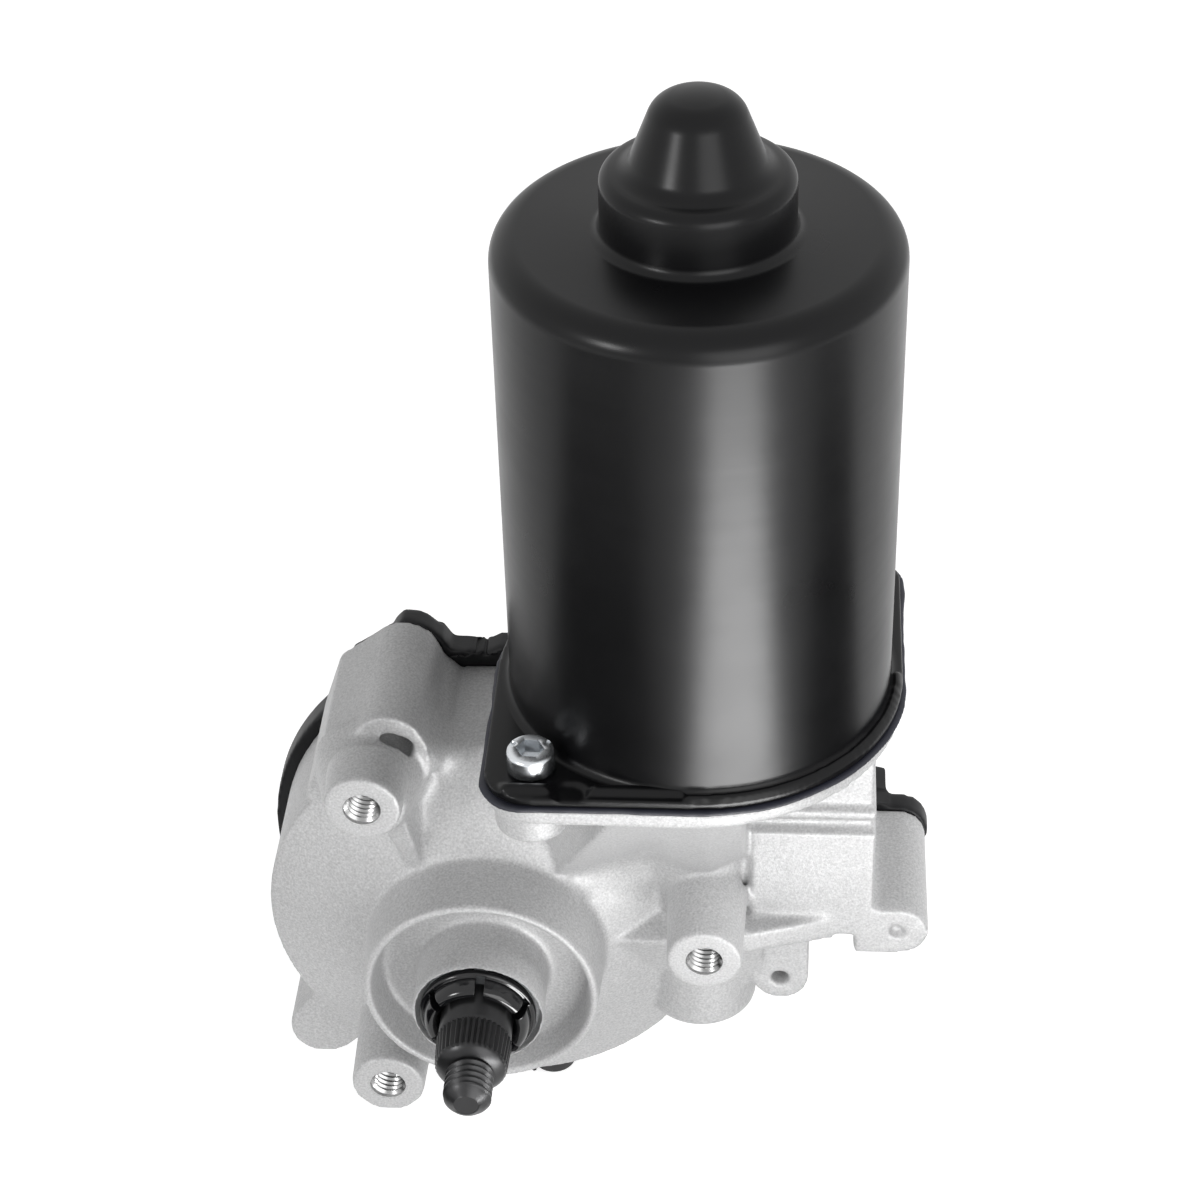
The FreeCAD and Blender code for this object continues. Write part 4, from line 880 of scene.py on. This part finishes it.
def makeClip(size):
    centre = Vector((outputX, 0, outputZ))
    steps = [(size["hub"], size["back"]), (size["rim"] - size["backEdge"], size["back"]),
             (size["rim"], size["back"] - size["backEdge"])]
    steps += arcSteps(size["rim"] - size["rimRound"], size["rimFront"] + size["rimRound"],
                      size["rimRound"], 0, -90, 4)
    steps += [(size["dome"] + size["domeWidth"] + size["rimSink"][0], size["rimFront"] + size["rimSink"][1])]
    rise = size["rimFront"] - size["domeFront"]
    for index in range(size["domeSteps"] + 1):
        angle = math.radians(index * size["domeTurn"] / size["domeSteps"])
        steps.append((size["dome"] + size["domeWidth"] * math.cos(angle),
                      size["rimFront"] - rise * math.sin(angle)))
    steps += [(size["hub"] + size["hubEdge"], size["rimFront"] - rise * size["hubRise"]),
              (size["hub"], size["rimFront"]), (size["hub"], size["back"])]
    dish = turnPiece("clip_dish", centre, "Y", steps, 144, 40)
    for index in range(size["fingers"]):
        angle = math.radians(size["slotTurn"] + index * 360 / size["fingers"])
        reach = size["dome"] + size["slotOut"]
        spot = centre + Vector((math.cos(angle), 0, math.sin(angle))) * reach
        clearSelection()
        bpy.ops.mesh.primitive_cube_add(
            size=1, location=(spot.x, size["rimFront"] - size["slotBelow"], spot.z), rotation=(0, -angle, 0))
        tool = bpy.context.object
        tool.scale = (size["slotReach"], size["slotHeight"], size["slotWidth"])
        bpy.ops.object.transform_apply(location=False, rotation=False, scale=True)
        cutWith(dish, tool)
    bevelEdges(dish, size["edge"], 50)
    smoothBy(dish, 45)
    finishPiece(dish, "gloss_black_clip", "output", "retaining_clip")


makeClip(clipSize)


# Rear cover: a moulded piece with softened edges
coverSize = {
    "voxel": 0.5 * mm,
    "smoothing": 5,
    "triangles": 120000,
    # Outside the dish the cover is a thin flange, up to the socket's chamber and the nipple
    "flangeBack": 44.6 * mm,
    "dishRadius": 32.5 * mm,
    "dishEdge": 40.0 * mm,
    "squeeze": 0.12,
    "chamber": (30 * mm, 36 * mm),
    "nipple": 6 * mm,
    "sideEdge": 62.0 * mm,
    "sideSqueeze": 0.5,
    "lugTop": -1.2 * mm,
    # The rim round the ridge is trimmed, most at its left slope, where the photo shows none
    "ridge": Vector((-14.0, 20.0)) * mm,
    "ridgeReach": 14 * mm,
    "ridgeFoot": 8 * mm,
    "ridgeGap": 0.6 * mm,
    "ridgeTrim": 1.3 * mm,
    "slopeTrim": 2.3 * mm,
    "slopeStart": 2 * mm,
    "fade": 3 * mm,
}


def pressFlange(co, size, nippleX):
    byNipple = abs(co.x - nippleX) < size["nipple"] and co.z < outputZ - size["dishRadius"]
    if co.y <= size["flangeBack"] or byNipple:
        return
    out = math.hypot(co.x - outputX, co.z - outputZ)
    part = between(out, size["dishRadius"], size["dishEdge"]) * (1 - between(co.x, *size["chamber"]))
    co.y = size["flangeBack"] + (co.y - size["flangeBack"]) * (1 - part * (1 - size["squeeze"]))


def trimRidge(co, size):
    beyond = math.hypot(co.x - outputX, co.z - outputZ) - size["dishEdge"] - size["ridgeGap"]
    if co.x >= 0 or beyond <= 0 or co.z <= size["ridgeFoot"]:
        return
    way = Vector((co.x, co.z)) - size["ridge"]
    slope = between(-way.x, size["slopeStart"], size["slopeStart"] + size["fade"])
    trim = size["ridgeTrim"] + size["slopeTrim"] * slope * between(beyond, 0, size["fade"])
    part = min(1, way.length / size["ridgeReach"]) * trim / way.length
    co.x -= way.x * part
    co.z -= way.y * part


def makeCover(size):
    cover = copyNode("gear_cover", "rear_cover")
    remeshSmooth(cover, size["voxel"], size["smoothing"])
    low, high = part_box("breather_tube")
    nippleX = (low.x + high.x) / 2
    for vertex in cover.data.vertices:
        pressFlange(vertex.co, size, nippleX)
        if vertex.co.x > size["sideEdge"] and vertex.co.z > size["lugTop"]:
            vertex.co.x = size["sideEdge"] + (vertex.co.x - size["sideEdge"]) * size["sideSqueeze"]
        trimRidge(vertex.co, size)
    thinTo(cover, size["triangles"])
    finishPiece(cover, "black_nylon", "housing", "gear_cover")


makeCover(coverSize)


# Breather: a rubber tube with rounded ends, and a small tab beside its lower end. The tab stands
# 0.27 mm clear of the tube's wall, which is an open fault.
hoseSize = {
    "wall": 1.2 * mm,
    "mouth": 0.4 * mm,
    "chamfer": 0.5 * mm,
    "round": 0.6 * mm,
    "lip": 0.2 * mm,
    "sides": 64,
    "tabSides": 16,
    "tabRadius": 0.45 * mm,
    "tabLength": 3.0 * mm,
    "tabPlace": Vector((0.5, 0.9, 1.55)) * mm,      # from the low corner of the tube's box
}


def makeHose(size):
    low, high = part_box("breather_tube")
    outer = (high.x - low.x) / 2
    inner = outer - size["wall"]
    steps = [
        (inner, high.z - size["mouth"]), (inner + size["mouth"], high.z), (outer - size["chamfer"], high.z),
        (outer, high.z - size["chamfer"]), (outer, low.z + size["round"]),
    ]
    steps += arcSteps(outer - size["round"], low.z + size["round"], size["round"], 0, -90, 4)
    steps += [(inner, low.z + size["lip"]), (inner, high.z - size["mouth"])]
    middle = Vector(((low.x + high.x) / 2, (low.y + high.y) / 2, 0))
    hose = turnPiece("hose_wall", middle, "Z", steps, size["sides"])
    clearSelection()
    bpy.ops.mesh.primitive_cylinder_add(vertices=size["tabSides"], radius=size["tabRadius"],
                                        depth=size["tabLength"], location=low + size["tabPlace"])
    tab = settle(bpy.context.object, "hose_tab")
    finishPiece(joinPieces([hose, tab], "breather_hose"), "black_rubber", "housing", "breather_tube")


makeHose(hoseSize)


# Light and floor: turns and rises in degrees, distances in metres
light = {
    "aimHeight": 30 * mm,
    "lampHeight": 60 * mm,
    "lamps": {
        "keyLamp": {"turn": 25, "rise": 12, "distance": 0.62, "size": 0.42, "power": 1.7},
        "fillLamp": {"turn": -50, "rise": 12, "distance": 0.7, "size": 0.5, "power": 2.3, "glossy": False},
        "backLamp": {"turn": 95, "rise": 28, "distance": 0.6, "size": 0.35, "power": 2.2, "glossy": False},
        "rearLamp": {"turn": 205, "rise": 14, "distance": 0.7, "size": 0.45, "power": 0.7, "glossy": False},
        "glintLamp": {"turn": -44, "rise": 18, "distance": 0.6, "size": 0.12, "power": 0.9, "diffuse": False},
    },
    "overFloor": 3 * mm,
    "strip": {"turn": 21, "near": 0.15, "far": 0.36, "width": 0.15, "power": 2.2},
    "cards": {"leftCard": (-52, 0.24), "rightCard": (78, 0.14)},
    "cardNear": 0.12,
    "cardFar": 0.36,
    "sky": 0.15,
    "floorSize": 6,
    "floorShade": 0.62,
    "floorNear": 0.35,
    "floorFar": 1.1,
}


def turnedPlace(degrees, rise, distance):
    # A place round the motor axis; degrees are counted from -Y towards +X.
    level = distance * math.cos(math.radians(rise))
    return Vector((
        motorX + level * math.sin(math.radians(degrees)),
        motorY - level * math.cos(math.radians(degrees)),
        light["lampHeight"] + distance * math.sin(math.radians(rise)),
    ))


def addLamp(name, lamp, aim):
    place = turnedPlace(lamp["turn"], lamp["rise"], lamp["distance"])
    bpy.ops.object.light_add(type="AREA", location=place)
    piece = bpy.context.object
    piece.name = name
    piece.data.shape = "SQUARE"
    piece.data.size = lamp["size"]
    piece.data.energy = lamp["power"]
    piece.rotation_mode = "QUATERNION"
    piece.rotation_quaternion = (aim - place).to_track_quat("-Z", "Y")
    piece.visible_glossy = lamp.get("glossy", True)
    piece.visible_diffuse = lamp.get("diffuse", True)


def addStrip(strip, height):
    # A low strip in front, which only reflections see.
    middle = turnedPlace(strip["turn"], 0, (strip["near"] + strip["far"]) / 2)
    bpy.ops.object.light_add(type="AREA", location=(middle.x, middle.y, height))
    piece = bpy.context.object
    piece.name = "lowStrip"
    piece.data.shape = "RECTANGLE"
    piece.data.size = strip["width"]
    piece.data.size_y = strip["far"] - strip["near"]
    piece.data.energy = strip["power"]
    piece.rotation_euler = (math.pi, 0, math.radians(strip["turn"]))
    piece.visible_camera = False
    piece.visible_diffuse = False


def addCards(size, height):
    # Dark cards on both sides of the strip, which only reflections see too.
    material, tree, shader = newMaterial("darkCard")
    shader.inputs["Base Color"].default_value = (0.01, 0.01, 0.01, 1)
    shader.inputs["Specular IOR Level"].default_value = 0.0
    for name, (turn, width) in size["cards"].items():
        middle = turnedPlace(turn, 0, (size["cardNear"] + size["cardFar"]) / 2)
        clearSelection()
        bpy.ops.mesh.primitive_plane_add(size=1, location=(middle.x, middle.y, height))
        card = bpy.context.object
        card.name = name
        card.scale = (width, size["cardFar"] - size["cardNear"], 1)
        card.rotation_euler = (0, 0, math.radians(turn))
        card.data.materials.append(material)
        card.visible_camera = False
        card.visible_diffuse = False
        card.visible_shadow = False
        card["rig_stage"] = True


def backdropRays(tree):
    # 1 for camera, glossy and transmission rays, which see the plain white backdrop.
    path = tree.nodes.new("ShaderNodeLightPath")
    either = tree.nodes.new("ShaderNodeMath")
    either.operation = "MAXIMUM"
    tree.links.new(path.outputs["Is Camera Ray"], either.inputs[0])
    tree.links.new(path.outputs["Is Glossy Ray"], either.inputs[1])
    anyOf = tree.nodes.new("ShaderNodeMath")
    anyOf.operation = "MAXIMUM"
    tree.links.new(either.outputs[0], anyOf.inputs[0])
    tree.links.new(path.outputs["Is Transmission Ray"], anyOf.inputs[1])
    return anyOf.outputs[0]


def makeBackdrop(sky):
    world = bpy.context.scene.world or bpy.data.worlds.new("studioWorld")
    bpy.context.scene.world = world
    world.use_nodes = True
    tree = world.node_tree
    tree.nodes.clear()
    out = tree.nodes.new("ShaderNodeOutputWorld")
    lit = tree.nodes.new("ShaderNodeBackground")
    lit.inputs["Strength"].default_value = sky
    lit.inputs["Color"].default_value = (1, 1, 1, 1)
    seen = tree.nodes.new("ShaderNodeBackground")
    seen.inputs["Strength"].default_value = 1.0
    seen.inputs["Color"].default_value = (1, 1, 1, 1)
    mix = tree.nodes.new("ShaderNodeMixShader")
    tree.links.new(backdropRays(tree), mix.inputs["Fac"])
    tree.links.new(lit.outputs[0], mix.inputs[1])
    tree.links.new(seen.outputs[0], mix.inputs[2])
    tree.links.new(mix.outputs[0], out.inputs["Surface"])


def makeFloor(size, height):
    # White paper that keeps the object's shadow.
    clearSelection()
    bpy.ops.mesh.primitive_plane_add(size=size["floorSize"], location=(motorX, motorY, height))
    floor = bpy.context.object
    floor.name = "studioFloor"
    material, tree, shader = newMaterial("floorPaper")
    shader.inputs["Base Color"].default_value = (0.85, 0.85, 0.85, 1)
    shader.inputs["Roughness"].default_value = 0.9
    shader.inputs["Emission Color"].default_value = (1, 1, 1, 1)
    glow = tree.nodes.new("ShaderNodeMath")
    glow.operation = "MULTIPLY"
    glow.inputs[1].default_value = size["floorShade"]
    tree.links.new(backdropRays(tree), glow.inputs[0])
    # For the camera the paper grows as white as the backdrop far out, so that no horizon shows.
    place = tree.nodes.new("ShaderNodeTexCoord")
    reach = tree.nodes.new("ShaderNodeVectorMath")
    reach.operation = "LENGTH"
    tree.links.new(place.outputs["Object"], reach.inputs[0])
    rise = tree.nodes.new("ShaderNodeMapRange")
    rise.inputs["From Min"].default_value = size["floorNear"]
    rise.inputs["From Max"].default_value = size["floorFar"]
    rise.inputs["To Max"].default_value = 1 - size["floorShade"]
    tree.links.new(reach.outputs["Value"], rise.inputs["Value"])
    path = tree.nodes.new("ShaderNodeLightPath")
    extra = tree.nodes.new("ShaderNodeMath")
    extra.operation = "MULTIPLY_ADD"
    tree.links.new(path.outputs["Is Camera Ray"], extra.inputs[0])
    tree.links.new(rise.outputs["Result"], extra.inputs[1])
    tree.links.new(glow.outputs[0], extra.inputs[2])
    tree.links.new(extra.outputs[0], shader.inputs["Emission Strength"])
    floor.data.materials.append(material)
    floor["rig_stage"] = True


def makeStudio(size):
    aim = Vector((motorX, motorY, size["aimHeight"]))
    for name, lamp in size["lamps"].items():
        addLamp(name, lamp, aim)
    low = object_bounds()[0].z
    addStrip(size["strip"], low + size["overFloor"])
    addCards(size, low + size["overFloor"])
    makeBackdrop(size["sky"])
    makeFloor(size, low)
    bpy.context.scene.view_settings.view_transform = "Standard"
    print("studio is ready")


makeStudio(light)
